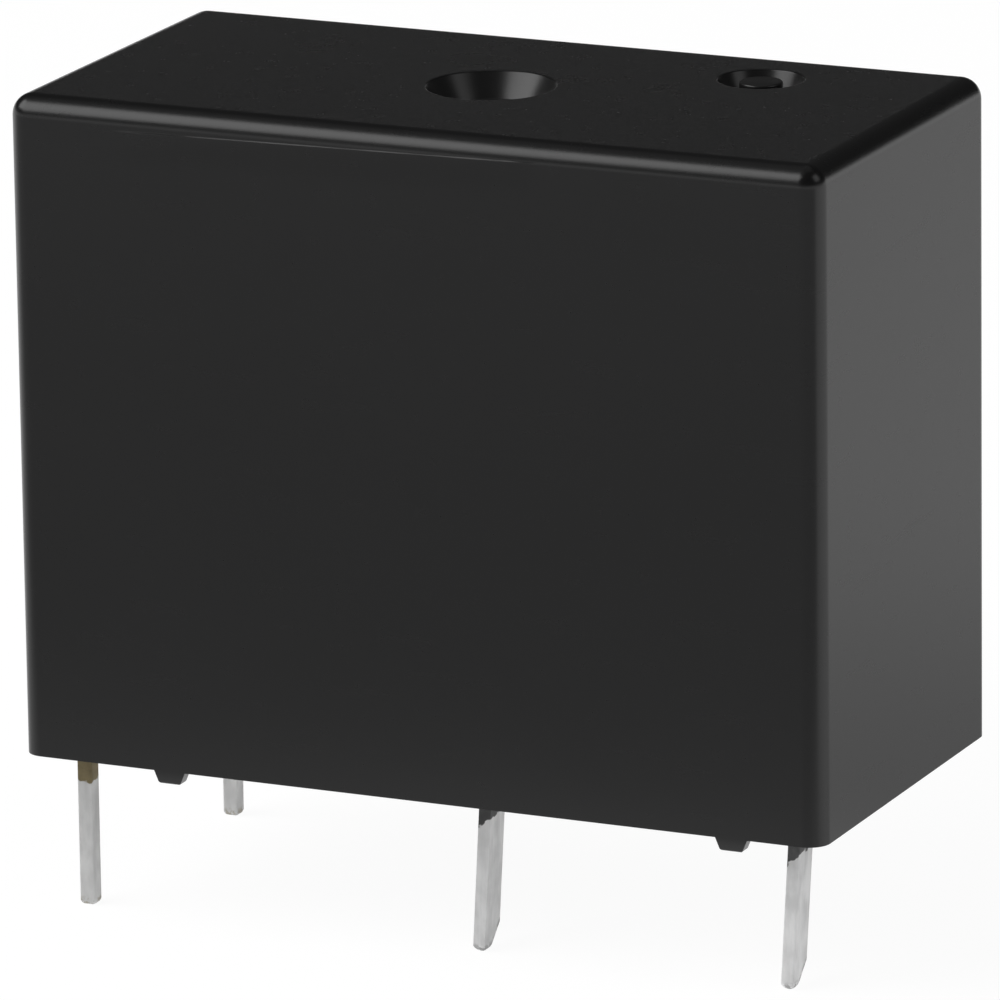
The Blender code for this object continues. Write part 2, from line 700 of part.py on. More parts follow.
def make_core():
    """Turned iron core with a pole disc above and a tenon riveted into the yoke."""
    shoulder = YOKE_HIGH + FIT
    profile = [
        (0, PIVOT_Z),
        (POLE_RADIUS - POLE_CHAMFER, PIVOT_Z),
        (POLE_RADIUS, PIVOT_Z - POLE_CHAMFER),
        (POLE_RADIUS, POLE_LOW),
        (CORE_RADIUS, POLE_LOW),
        (CORE_RADIUS, shoulder),
        (CORE_TENON_RADIUS, shoulder),
        (CORE_TENON_RADIUS, YOKE_LOW),
        (0, YOKE_LOW),
    ]
    core = add_turned("core", profile, (SOFT_IRON, 0.4, 1), ROUND_STEPS)
    core.location.x = COIL_X


def make_yoke():
    """Bent iron frame: its foot lies under the coil and its leg carries the armature."""
    radius = YOKE_BEND_RADIUS + YOKE_THICKNESS / 2
    toe_x = COIL_X - YOKE_TOE
    leg_x = PIVOT_X - YOKE_THICKNESS / 2
    foot_z = (YOKE_LOW + YOKE_HIGH) / 2
    foot = leg_x - radius - toe_x
    arc = radius * math.pi / 2
    leg = PIVOT_Z - foot_z - radius
    notch = foot + arc + leg - HINGE_HOOK_BELOW_EDGE
    half = HINGE_NOTCH_HEIGHT / 2
    inner = YOKE_SIDE - HINGE_NOTCH_DEPTH
    side = [(0, YOKE_SIDE), (notch - half, YOKE_SIDE), (notch - half, inner)]
    side += [(notch + half, inner), (notch + half, YOKE_SIDE), (foot + arc + leg, YOKE_SIDE)]
    outline = side + [(run, -y) for run, y in reversed(side)]
    stretches = [(foot, 0), (arc, math.pi / 2), (leg, 0)]
    finish = (SOFT_IRON, 0.42, 1)
    yoke = add_bent_sheet("yoke", outline, YOKE_THICKNESS, stretches, (toe_x, foot_z), 0, finish)
    hole = CORE_TENON_RADIUS + FIT
    cut_round_along_z(yoke, "yoke_hole", hole, (YOKE_LOW - FIT, YOKE_HIGH + FIT), COIL_X, 0)


def make_armature(pivot):
    """Bent iron armature, open at rest, with its tail against the yoke."""
    radius = FIT + ARMATURE_THICKNESS / 2
    heading = -ARMATURE_STROKE
    turn = ARMATURE_STROKE - math.pi / 2
    arc = radius * -turn
    bend_x = PIVOT_X - radius * math.sin(heading)
    bend_z = PIVOT_Z + radius * math.cos(heading)
    start_x = bend_x - ARMATURE_LIMB * math.cos(heading)
    start_z = bend_z - ARMATURE_LIMB * math.sin(heading)
    side = ARMATURE_SIDE
    tongue = TONGUE_WIDTH / 2
    shoulder = ARMATURE_LIMB + arc + TAIL_LENGTH
    tip = shoulder + TONGUE_LENGTH
    half = [(0, side), (shoulder, side), (shoulder, tongue), (tip, tongue)]
    outline = half + [(run, -y) for run, y in reversed(half)]
    stretches = [(ARMATURE_LIMB, 0), (arc, turn), (TAIL_LENGTH + TONGUE_LENGTH, 0)]
    finish = (SOFT_IRON, 0.38, 1)
    start = (start_x, start_z)
    armature = add_bent_sheet(
        "armature", outline, ARMATURE_THICKNESS, stretches, start, heading, finish
    )
    hang_on(pivot, armature)


def make_hinge_spring():
    """Wire bail hooked in the yoke's side notches; its bar holds the armature's bend down."""
    side = YOKE_SIDE + FIT + HINGE_WIRE / 2
    hook = YOKE_SIDE - HINGE_NOTCH_DEPTH + 2 * FIT
    leg_x = PIVOT_X - YOKE_THICKNESS / 2
    hook_z = PIVOT_Z - HINGE_HOOK_BELOW_EDGE
    reach = (2 * FIT + ARMATURE_THICKNESS + HINGE_WIRE / 2) / math.sqrt(2)
    half = [
        (leg_x, hook, hook_z),
        (leg_x, side, hook_z),
        (leg_x, side, PIVOT_Z),
        (PIVOT_X + reach, side, PIVOT_Z + reach),
    ]
    corners = half + [(x, -y, z) for x, y, z in reversed(half)]
    points = rounded_path(corners, HINGE_BEND_RADIUS)
    add_wire("hinge_spring", points, HINGE_WIRE, (SPRING_STEEL, 0.3, 1))


def make_card(slide):
    """Moulded card: a fork on the armature's tongue and a nose through the contact spring."""
    fork_x = TAIL_FACE_X + FIT
    shoulder_x = SPRING_LEFT_X - FIT
    side = CARD_WIDTH / 2
    gap = TONGUE_WIDTH / 2 + FIT
    nose = CARD_NOSE_WIDTH / 2
    half = [
        (fork_x, gap),
        (fork_x - CARD_PRONG, gap),
        (fork_x - CARD_PRONG, side),
        (shoulder_x - CARD_TAPER, side),
        (shoulder_x, 2 * nose),
        (shoulder_x, nose),
        (SPRING_RIGHT_X + CARD_NOSE_LENGTH, nose),
    ]
    outline = half + [(x, -y) for x, y in reversed(half)]
    card = add_flat("card", outline, CARD_LOW, CARD_TOP, (WHITE_MOULDING, 0.4, 0))
    trim = (CARD_HEIGHT - CARD_NOSE_HEIGHT) / 2
    for low, high, end in (
        (CARD_LOW - FIT, CARD_LOW + trim, "low"),
        (CARD_TOP - trim, CARD_TOP + FIT, "high"),
    ):
        far = SPRING_RIGHT_X + CARD_NOSE_LENGTH + FIT
        cut_box(card, f"nose_trim_{end}", (shoulder_x, -side, low), (far, side, high))
    bevel = card.modifiers.new("edges", "BEVEL")
    bevel.width = CARD_EDGE
    bevel.segments = 1
    bevel.limit_method = "ANGLE"
    hang_on(slide, card)


def make_common_terminal():
    """Stamped strip: a blade, a run across the base and a clamp plate for the spring."""
    radius = STRIP_BEND_RADIUS + BLADE_THICKNESS / 2
    arc = radius * math.pi / 2
    lean = lean_start(COMMON_X)
    rise = STRIP_Z - radius - lean["top"]
    run = CLAMP_X - COMMON_X - 2 * radius
    plate = RIVET_Z + CLAMP_ABOVE_RIVET - STRIP_Z - radius
    stretches = lean["stretches"] + [(rise, 0), (arc, -math.pi / 2), (run, 0)]
    stretches += [(arc, math.pi / 2), (plate, 0)]
    bend = lean["length"] + rise + arc
    join_from = bend + BARRIER_X + BARRIER_THICKNESS + FIT - COMMON_X - radius
    top = bend + run + arc + plate
    half = CLAMP_WIDTH / 2
    outline = blade_point() + [
        (bend, BLADE_BACK),
        (bend, -STRIP_INNER_SIDE),
        (join_from, -STRIP_INNER_SIDE),
        (join_from, half),
        (top, half),
        (top, -half),
        (bend + run, -half),
        (bend + run, BLADE_FRONT),
    ]
    strip = add_blade_sheet("common_terminal", outline, stretches, lean)
    for hand, end in ((-1, "front"), (1, "back")):
        x_range = (CLAMP_X - BLADE_THICKNESS, CLAMP_X + BLADE_THICKNESS)
        y = hand * RIVET_SPACING / 2
        name = f"clamp_hole_{end}"
        cut_round_along_x(strip, name, RIVET_SHANK_RADIUS + FIT, x_range, y, RIVET_Z)


def blade_point():
    """The end of a terminal blade as (run, y) points: eased in front and cut aslant behind."""
    return [
        (BLADE_TIP_ROUND, BLADE_FRONT),
        (0, BLADE_FRONT + BLADE_TIP_ROUND),
        (0, BLADE_FRONT + BLADE_TIP_WIDTH),
        (BLADE_CUT_LENGTH, BLADE_BACK),
    ]


def add_blade_sheet(name, outline, stretches, lean):
    """A stamped terminal in tinned strip whose blade leans and whose end is coined round."""
    finish = (TINNED, 0.35, 1)
    start = lean["start"]
    heading = lean["heading"]
    return add_bent_sheet(
        name, outline, BLADE_THICKNESS, stretches, start, heading, finish, BLADE_TIP_ROUND
    )


def lean_start(x):
    """Start, heading and first stretches of a blade that leans below the seal."""
    heading = math.pi / 2 - BLADE_LEAN
    lift = BLADE_THICKNESS / 2 * math.sin(BLADE_LEAN)
    length = (SEAL_LOW - FIT - lift) / math.cos(BLADE_LEAN) - BLADE_SET_LENGTH / 2
    stretches = [(length, 0), (BLADE_SET_LENGTH, BLADE_LEAN)]
    end_x, end_z, _ = point_along(length + BLADE_SET_LENGTH, stretches, (0, lift), heading)
    return {
        "start": (x - end_x, lift),
        "heading": heading,
        "stretches": stretches,
        "length": length + BLADE_SET_LENGTH,
        "top": end_z,
    }


def make_fixed_terminal():
    """Flat stamped terminal that carries the fixed contact beside the end wall."""
    lean = lean_start(FIXED_X)
    foot = lean["length"] + BASE_HIGH + FIT - lean["top"]
    plate_top = foot + CONTACT_Z + FIXED_PLATE_ABOVE_CONTACT - BASE_HIGH - FIT
    shoulder = foot + FIXED_SHOULDER_HEIGHT
    side = FIXED_PLATE_SIDE
    outline = blade_point() + [
        (foot, BLADE_BACK),
        (foot, side),
        (plate_top, side),
        (plate_top, -side),
        (shoulder + side, -side),
        (shoulder, BLADE_FRONT),
    ]
    stretches = lean["stretches"] + [(plate_top - lean["length"], 0)]
    plate = add_blade_sheet("fixed_terminal", outline, stretches, lean)
    x_range = (FIXED_X - BLADE_THICKNESS, FIXED_X + BLADE_THICKNESS)
    hole = CONTACT_STEM_RADIUS + FIT
    cut_round_along_x(plate, "fixed_contact_hole", hole, x_range, 0, CONTACT_Z)


def make_contact_spring(pivot):
    """Leaf spring that stands on the clamp plate and carries the moving contact."""
    root = SPRING_WIDTH / 2
    tip = SPRING_TIP_WIDTH / 2
    height = SPRING_FOOT + CONTACT_Z - RIVET_Z + SPRING_ABOVE_CONTACT
    eased = height - tip / 2
    half = [(0, root), (SPRING_STRAIGHT, root), (eased, tip), (height, tip / 2)]
    outline = half + [(run, -y) for run, y in reversed(half)]
    start = (SPRING_X, RIVET_Z - SPRING_FOOT)
    stretches = [(height, 0)]
    finish = (SPRING_ALLOY, 0.3, 1)
    spring = add_bent_sheet(
        "moving_spring", outline, SPRING_THICKNESS, stretches, start, math.pi / 2, finish
    )
    x_range = (SPRING_X - SPRING_THICKNESS, SPRING_X + SPRING_THICKNESS)
    for hand, end in ((-1, "front"), (1, "back")):
        y = hand * RIVET_SPACING / 2
        name = f"spring_hole_{end}"
        cut_round_along_x(spring, name, RIVET_SHANK_RADIUS + FIT, x_range, y, RIVET_Z)
    hole = CONTACT_STEM_RADIUS + FIT
    cut_round_along_x(spring, "moving_contact_hole", hole, x_range, 0, CONTACT_Z)
    window = (CARD_NOSE_WIDTH / 2 + FIT, CARD_NOSE_HEIGHT / 2 + 2 * FIT)
    low = (x_range[0], -window[0], CARD_Z - window[1])
    cut_box(spring, "nose_window", low, (x_range[1], window[0], CARD_Z + window[1]))
    hang_on(pivot, spring)


def rivet_profile(grip, head_radius, head_thickness, dome, shank_radius, tail):
    """Profile of a headed rivet whose head's face is at the top and whose grip starts at 0."""
    tail_radius, tail_thickness = tail
    edge = head_thickness - dome
    profile = []
    for step in range(DOME_STEPS + 1):
        angle = math.pi / 2 * step / DOME_STEPS
        profile.append((head_radius * math.sin(angle), edge + dome * math.cos(angle)))
    profile += [
        (head_radius, 0),
        (shank_radius, 0),
        (shank_radius, -grip),
        (tail_radius, -grip),
        (tail_radius, -grip - tail_thickness),
        (0, -grip - tail_thickness),
    ]
    return profile


def make_contacts(pivot):
    """Silver alloy contact rivets: a domed one on the spring and a flatter one facing it."""
    tail = (CONTACT_TAIL_RADIUS, CONTACT_TAIL_THICKNESS)
    finish = (SILVER_ALLOY, 0.3, 1)
    profile = rivet_profile(
        SPRING_THICKNESS + 2 * FIT,
        CONTACT_RADIUS,
        CONTACT_THICKNESS,
        CONTACT_DOME,
        CONTACT_STEM_RADIUS,
        tail,
    )
    moving = add_turned("moving_contact", profile, finish, SMALL_ROUND_STEPS)
    turn_to_x(moving, SPRING_RIGHT_X + FIT, 0, CONTACT_Z)
    hang_on(pivot, moving)
    profile = rivet_profile(
        BLADE_THICKNESS + 2 * FIT,
        CONTACT_RADIUS,
        CONTACT_THICKNESS,
        FIXED_CONTACT_DOME,
        CONTACT_STEM_RADIUS,
        tail,
    )
    fixed = add_turned("fixed_contact", profile, finish, SMALL_ROUND_STEPS)
    turn_to_x(fixed, FIXED_X - BLADE_THICKNESS / 2 - FIT, 0, CONTACT_Z)
    fixed.rotation_euler.y = -math.pi / 2


def make_spring_rivets():
    """Two rivets that clamp the spring's foot to the common strip."""
    grip = SPRING_RIGHT_X + FIT - (CLAMP_X - BLADE_THICKNESS / 2 - FIT)
    tail = (RIVET_HEAD_RADIUS, RIVET_HEAD_THICKNESS)
    for hand, end in ((-1, "front"), (1, "back")):
        profile = rivet_profile(
            grip,
            RIVET_HEAD_RADIUS,
            RIVET_HEAD_THICKNESS,
            RIVET_HEAD_THICKNESS / 2,
            RIVET_SHANK_RADIUS,
            tail,
        )
        finish = (SPRING_ALLOY, 0.35, 1)
        rivet = add_turned(f"spring_rivet_{end}", profile, finish, SMALL_ROUND_STEPS)
        turn_to_x(rivet, SPRING_RIGHT_X + FIT, hand * RIVET_SPACING / 2, RIVET_Z)


def shade_round_parts():
    """Smooth shading on the turned parts, with their sharp edges kept."""
    for part in PARTS.objects:
        if part.type == "MESH":
            part.data.shade_smooth()
            part.data.set_sharp_from_angle(angle=math.radians(30))


def build():
    armature_pivot = add_pivot("armature_pivot", (PIVOT_X, 0, PIVOT_Z))
    card_slide = add_pivot("card_slide", (TAIL_FACE_X, 0, CARD_Z))
    spring_pivot = add_pivot("spring_pivot", (SPRING_X, 0, RIVET_Z))
    make_cover()
    make_seal()
    make_base()
    make_bobbin()
    make_winding()
    make_coil_terminals()
    make_core()
    make_yoke()
    make_armature(armature_pivot)
    make_hinge_spring()
    make_card(card_slide)
    make_common_terminal()
    make_fixed_terminal()
    make_contact_spring(spring_pivot)
    make_contacts(spring_pivot)
    make_spring_rivets()
    shade_round_parts()


build()
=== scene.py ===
"""Looks of a sealed printed-circuit power relay, section by section as it is put together.

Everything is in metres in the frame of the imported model: X along the case with the coil at -X,
the front at -Y, and the four terminal tips on Z = 0.
"""

import math

import bmesh
import bpy
from mathutils import Matrix, Vector


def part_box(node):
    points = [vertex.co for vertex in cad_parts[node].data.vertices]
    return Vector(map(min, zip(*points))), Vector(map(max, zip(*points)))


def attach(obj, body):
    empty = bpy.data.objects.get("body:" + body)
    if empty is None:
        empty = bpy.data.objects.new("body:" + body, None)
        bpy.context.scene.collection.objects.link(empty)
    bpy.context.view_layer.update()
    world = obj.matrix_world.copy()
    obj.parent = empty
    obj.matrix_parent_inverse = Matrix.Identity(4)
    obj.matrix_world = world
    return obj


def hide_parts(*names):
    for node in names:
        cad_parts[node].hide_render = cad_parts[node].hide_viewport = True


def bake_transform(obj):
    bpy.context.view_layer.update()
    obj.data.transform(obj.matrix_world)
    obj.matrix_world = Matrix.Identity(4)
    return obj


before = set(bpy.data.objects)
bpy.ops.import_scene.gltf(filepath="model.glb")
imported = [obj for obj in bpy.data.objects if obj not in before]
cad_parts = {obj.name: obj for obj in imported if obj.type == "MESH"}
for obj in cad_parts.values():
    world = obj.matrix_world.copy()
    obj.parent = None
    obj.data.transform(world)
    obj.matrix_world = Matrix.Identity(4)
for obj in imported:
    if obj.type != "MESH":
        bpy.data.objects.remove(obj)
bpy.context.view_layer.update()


# Base
# The plate that everything stands on, moulded in glass-filled black polyester with rails for the
# yoke, a barrier and a stop rib. Its faces are matt and its edges barely eased. The sealing resin
# holds it in the cover.

MM = 0.001
SAME_PLACE = 0.0005 * MM
FLAT_WITHIN = math.radians(0.5)
SHARP_TURN = math.radians(35)


class Signal:
    """One output in a finish, so that the maths of a pattern reads as plain sums."""

    def __init__(self, finish, socket):
        self.finish = finish
        self.socket = socket

    def __add__(self, other):
        return self.finish.maths("ADD", self, other)

    def __radd__(self, other):
        return self.finish.maths("ADD", other, self)

    def __sub__(self, other):
        return self.finish.maths("SUBTRACT", self, other)

    def __rsub__(self, other):
        return self.finish.maths("SUBTRACT", other, self)

    def __mul__(self, other):
        return self.finish.maths("MULTIPLY", self, other)

    def __rmul__(self, other):
        return self.finish.maths("MULTIPLY", other, self)

    def __truediv__(self, other):
        return self.finish.maths("DIVIDE", self, other)

    def __rtruediv__(self, other):
        return self.finish.maths("DIVIDE", other, self)

    def __abs__(self):
        return self.finish.maths("ABSOLUTE", self)


class Finish:
    """A procedural material round one Principled shader, with plain numbers on its sockets."""

    def __init__(self, name, sockets):
        self.material = bpy.data.materials.new(name)
        self.material.use_nodes = True
        self.tree = self.material.node_tree
        self.shader = self.tree.nodes["Principled BSDF"]
        for socket, value in sockets.items():
            self.shader.inputs[socket].default_value = value
        self.place = self.node("ShaderNodeTexCoord", output="Object")
        self.x, self.y, self.z = (
            self.node("ShaderNodeSeparateXYZ", {0: self.place}, output=axis) for axis in "XYZ"
        )

    def node(self, kind, sockets=(), output=0, **settings):
        """Adds any node: its settings first, then the values or links of its sockets."""
        made = self.tree.nodes.new(kind)
        for name, value in settings.items():
            setattr(made, name, value)
        for socket, value in dict(sockets).items():
            self.feed(made.inputs[socket], value)
        return Signal(self, made.outputs[output])

    def feed(self, socket, value):
        """Links a pattern to a socket, or sets a plain value on it."""
        if isinstance(value, Signal):
            self.tree.links.new(value.socket, socket)
        else:
            socket.default_value = value

    def drive(self, socket, value):
        """Lets a pattern drive one of the shader's own sockets."""
        self.feed(self.shader.inputs[socket], value)

    def maths(self, operation, *terms):
        """One step of arithmetic on patterns and numbers."""
        return self.node("ShaderNodeMath", dict(enumerate(terms)), operation=operation)

    def length(self, x=0.0, y=0.0, z=0.0):
        """How long the line with these three offsets is."""
        offset = self.node("ShaderNodeCombineXYZ", {0: x, 1: y, 2: z})
        return self.node("ShaderNodeVectorMath", {0: offset}, output="Value", operation="LENGTH")

    def grain(self, size, stretch=(1, 1, 1), detail=2):
        """Cloudy noise from 0 to 1 whose lumps are about size across."""
        scaled = self.node(
            "ShaderNodeVectorMath", {0: self.place, 1: stretch}, operation="MULTIPLY"
        )
        sockets = {"Vector": scaled, "Scale": 1 / size, "Detail": detail}
        return self.node("ShaderNodeTexNoise", sockets)

    def ramp(self, value, low, high, to_low=0.0, to_high=1.0):
        """A smooth step from to_low to to_high as the value goes from low to high."""
        sockets = {0: value, 1: low, 2: high, 3: to_low, 4: to_high}
        return self.node("ShaderNodeMapRange", sockets, interpolation_type="SMOOTHSTEP")

    def fall(self, value, low, high):
        """A smooth step down from 1 to 0 as the value goes from low to high."""
        return self.ramp(value, low, high, 1.0, 0.0)

    def tint(self, share, first, second):
        """The first colour at share 0 and the second at share 1."""
        first, second = (
            colour if isinstance(colour, Signal) else (*colour, 1) for colour in (first, second)
        )
        sockets = {0: share, 6: first, 7: second}
        return self.node("ShaderNodeMix", sockets, output=2, data_type="RGBA")

    def relief(self, height, depth):
        """Bump of the stated depth in metres from a height between 0 and 1."""
        self.drive("Normal", self.node("ShaderNodeBump", {"Height": height, "Distance": depth}))


def merged_copy(node):
    """A node's own form with its loose triangles joined and its flat faces whole."""
    bm = bmesh.new()
    bm.from_mesh(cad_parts[node].data)
    bmesh.ops.remove_doubles(bm, verts=bm.verts, dist=SAME_PLACE)
    bmesh.ops.dissolve_limit(bm, angle_limit=FLAT_WITHIN, verts=bm.verts, edges=bm.edges)
    return bm


def round_off(bm, edges, radius, rounds):
    """Rounds the edges by arcs of a radius, in a number of steps."""
    bmesh.ops.bevel(
        bm, geom=edges, offset=radius, segments=rounds, profile=0.5, affect="EDGES", material=-1,
        clamp_overlap=True,
    )


def ease(bm, radius, rounds=2):
    """Small round on every sharp edge."""
    sharp = [e for e in bm.edges if e.is_manifold and e.calc_face_angle() > SHARP_TURN]
    round_off(bm, sharp, radius, rounds)


def mesh_of(bm, name):
    """The modelled form as a mesh of its own."""
    mesh = bpy.data.meshes.new(name)
    bm.to_mesh(mesh)
    bm.free()
    return mesh


def placed(name, data):
    """An object in the scene that shows a mesh, a lamp or a camera."""
    made = bpy.data.objects.new(name, data)
    bpy.context.scene.collection.objects.link(made)
    return made


def finished(bm, name, finish, slot, body, *nodes, smooth_to=40):
    """Makes the piece, gives it its finish and lets it stand for the nodes on their body."""
    mesh = mesh_of(bm, name)
    mesh.shade_smooth()
    mesh.set_sharp_from_angle(angle=math.radians(smooth_to))
    piece = placed(name, mesh)
    piece.data.materials.append(finish.material)
    flat = piece.modifiers.new("flat faces stay flat", "WEIGHTED_NORMAL")
    flat.keep_sharp = True
    flat.weight = 100
    if body:
        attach(piece, body)
    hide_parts(*nodes)
    return piece


dark_moulding = Finish("dark moulding", {"Metallic": 0, "Specular IOR Level": 0.4})
fibres = dark_moulding.grain(0.05 * MM, stretch=(1, 0.25, 1), detail=3)
clouds = dark_moulding.grain(1.4 * MM)
charcoal = dark_moulding.tint(clouds, (0.020, 0.019, 0.019), (0.042, 0.040, 0.039))
dark_moulding.drive("Base Color", charcoal)
dark_moulding.drive("Roughness", 0.5 + 0.18 * fibres)
dark_moulding.relief(fibres, 0.003 * MM)

base = merged_copy("base")
ease(base, 0.03 * MM)
finished(base, "base_moulding", dark_moulding, "dark_moulding", "housing", "base")


# Terminals
# Two square pins for the coil and two blades for the contacts, stamped from copper alloy and pushed
# through the base. They were dipped in tin from below, so a bare, tarnished root shows between the
# case and the dip line.

DIP_Z = 3.0 * MM
DIP_TILT = 0.12
DIP_RISE = 0.8
DIP_WAVE = 0.40 * MM
DIP_EDGE = (-0.015 * MM, 0.025 * MM)
INSIDE_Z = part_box("sealing_resin")[0].z
INSIDE_FADE = 0.3 * MM
BLADE_WIDTH = 0.8 * MM
BLADE_THICKNESS = 0.3 * MM
LEAN_OUT = 0.19 * MM
TIP_WIDTH = 0.32 * MM
CUT_LENGTH = 0.55 * MM
CUT_SLOPE = (BLADE_WIDTH - TIP_WIDTH) / CUT_LENGTH
SHORN_BAND = (0.06 * MM, 0.18 * MM)
SHORN_TIP = (0.10 * MM, 0.24 * MM)
BARE_SPECKS = (0.44, 0.54)
PIN_TIN = (0.75, 0.75, 0.745)
SOLDER = (0.66, 0.66, 0.67)
COPPER_ALLOY = (0.72, 0.42, 0.24)
BROWN_ROOT = (0.27, 0.22, 0.12)


def times(factor, colour):
    """A colour made lighter or darker."""
    return [factor * part for part in colour]


def dipped_metal(name, corner, rise, root, inside, tin):
    """Tin below a wavy dip line, tarnish between it and the seal, and clean metal further up.

    The line starts at the corner and climbs by rise along X. Dark specks are left where a blade's
    tip was sheared.
    """
    metal = Finish(name, {})
    wave = metal.grain(0.22 * MM)
    line = DIP_Z + rise * (metal.x - corner.x) + DIP_TILT * (metal.y - corner.y)
    line = line + DIP_WAVE * (wave - 0.5)
    above = metal.ramp(metal.z - INSIDE_Z, 0, INSIDE_FADE)
    tinned = metal.ramp(line - metal.z, *DIP_EDGE) * (1 - above)
    streaks = metal.grain(0.10 * MM, stretch=(1, 1, 0.10), detail=3)
    blots = metal.grain(0.40 * MM, stretch=(1, 1, 0.5), detail=3)
    tarnish = metal.grain(0.18 * MM, detail=3)
    mottle = metal.ramp(streaks * 0.25 + blots * 0.75, 0.32, 0.68)
    pale = metal.tint(mottle, times(0.84, tin), times(1.05, tin))
    stained = metal.tint(tarnish, times(0.6, root), times(1.5, root))
    clean = metal.tint(mottle, times(0.85, inside), times(1.05, inside))
    undipped = metal.tint(above, stained, clean)
    to_cut = TIP_WIDTH + CUT_SLOPE * metal.z - (metal.y - corner.y)
    shorn = metal.fall(to_cut, *SHORN_BAND)
    shorn = metal.maths("MAXIMUM", shorn, metal.fall(metal.z, *SHORN_TIP))
    shorn = shorn * metal.ramp(tarnish, *BARE_SPECKS)
    metal.drive("Base Color", metal.tint(tinned * (1 - 0.50 * shorn), undipped, pale))
    metal.drive("Metallic", 0.40 + 0.55 * above + 0.15 * tinned)
    metal.drive("Roughness", 0.58 - 0.14 * tinned * blots - 0.2 * above)
    metal.relief(streaks * 0.2 + blots * 0.8, 0.012 * MM)
    return metal


for end in ("front", "back"):
    node = f"coil_terminal_{end}"
    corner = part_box(node)[0]
    metal = dipped_metal(f"dipped pin {end}", corner, 0, BROWN_ROOT, SOLDER, PIN_TIN)
    pin = merged_copy(node)
    ease(pin, 0.05 * MM, rounds=3)
    finished(pin, f"coil_pin_{end}", metal, "tinned_metal", "housing", node)

for contact, root, tin in (("common", 0.085, 0.83), ("fixed", 0.12, 0.97)):
    node = f"{contact}_terminal"
    name = f"{contact}_blade"
    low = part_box(node)[0]
    corner = Vector((low.x + LEAN_OUT, low.y, 0))
    metal = dipped_metal(f"dipped {name}", corner, DIP_RISE, [root] * 3, COPPER_ALLOY, [tin] * 3)
    blade = merged_copy(node)
    ease(blade, 0.04 * MM, rounds=3)
    finished(blade, name, metal, "tinned_metal", "housing", node)


# Coil
# Layers of enamelled copper wire on a nylon bobbin, under one turn of amber film. Each end of the
# wire is wrapped round the post of a coil pin and soldered there.

COIL_X = -5 * MM
COIL_PIN_X = -8.89 * MM
COIL_PIN_Y = 3.81 * MM
SOLDER_EDGE = (0.42 * MM, 0.50 * MM)
SOLDER_WAVE = 0.1 * MM
WINDING_THICKNESS = 1.4 * MM
TURN_PITCH = 0.12 * MM
TURN_SINK = 0.03 * MM
FILM_THICKNESS = 0.1 * MM
FILM_STEP = 0.035 * MM
FILM_SEAM = math.radians(-110)
SEAM_HALF_ANGLE = 0.004
FILM_LAP = 0.12
LAP_FADE = 0.004
AMBER = (0.50, 0.235, 0.045)


def turned(profile, centre, steps=72):
    """A closed form turned about an upright axis from (radius, height) points."""
    bm = bmesh.new()
    verts = [bm.verts.new((radius, 0, height)) for radius, height in profile]
    edges = [bm.edges.new(pair) for pair in zip(verts, verts[1:])]
    bmesh.ops.spin(
        bm, geom=verts + edges, cent=(0, 0, 0), axis=(0, 0, 1), angle=math.tau, steps=steps,
        use_merge=True,
    )
    bmesh.ops.remove_doubles(bm, verts=bm.verts, dist=SAME_PLACE)
    bmesh.ops.recalc_face_normals(bm, faces=bm.faces)
    bmesh.ops.translate(bm, vec=(*centre, 0), verts=bm.verts)
    return bm


def split_by_plane(bm, point, normal, snap=0):
    """Splits all that a plane crosses, and takes nothing away."""
    everything = bm.verts[:] + bm.edges[:] + bm.faces[:]
    bmesh.ops.bisect_plane(bm, geom=everything, plane_co=point, plane_no=normal, dist=snap)


white_moulding = Finish("white moulding", {"Metallic": 0, "Specular IOR Level": 0.45})
flow = white_moulding.grain(1.6 * MM)
skin = white_moulding.grain(0.05 * MM, detail=3)
ivory = white_moulding.tint(flow, (0.57, 0.55, 0.485), (0.67, 0.65, 0.59))
white_moulding.drive("Base Color", ivory)
white_moulding.drive("Roughness", 0.36 + 0.14 * skin)
white_moulding.relief(skin, 0.003 * MM)

bobbin = merged_copy("bobbin")
ease(bobbin, 0.05 * MM)
finished(bobbin, "coil_bobbin", white_moulding, "white_moulding", "housing", "bobbin")

enamel = Finish("copper wire", {"Metallic": 1})
run = enamel.grain(0.25 * MM, detail=1)
to_post = enamel.length(enamel.x - COIL_PIN_X, abs(enamel.y) - COIL_PIN_Y)
soldered = enamel.fall(to_post + SOLDER_WAVE * run, *SOLDER_EDGE)
copper = enamel.tint(run, (0.50, 0.19, 0.085), (0.66, 0.29, 0.14))
enamel.drive("Base Color", enamel.tint(soldered, copper, (0.68, 0.68, 0.69)))
enamel.drive("Roughness", 0.26 + 0.10 * run + 0.12 * soldered)

low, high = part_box("coil_winding")
winding_radius = (high.x - low.x) / 2
winding_bore = winding_radius - WINDING_THICKNESS
turns = round((high.z - low.z) / TURN_PITCH)
profile = [(winding_bore, low.z), (winding_radius - TURN_SINK, low.z)]
for turn in range(turns):
    for share in (0.25, 0.5, 0.75, 1.0):
        sink = TURN_SINK * (1 - math.sin(math.pi * share))
        height = low.z + (turn + share) * (high.z - low.z) / turns
        profile.append((winding_radius - sink, height))
profile += [(winding_bore, high.z), profile[0]]
winding = turned(profile, (COIL_X, 0), steps=64)
finished(
    winding, "wound_wire", enamel, "enamelled_copper", "housing", "coil_winding", smooth_to=70
)

for end in ("front", "back"):
    node = f"coil_lead_{end}"
    lead = merged_copy(node)
    name = f"wrapped_lead_{end}"
    finished(lead, name, enamel, "enamelled_copper", "housing", node, smooth_to=70)

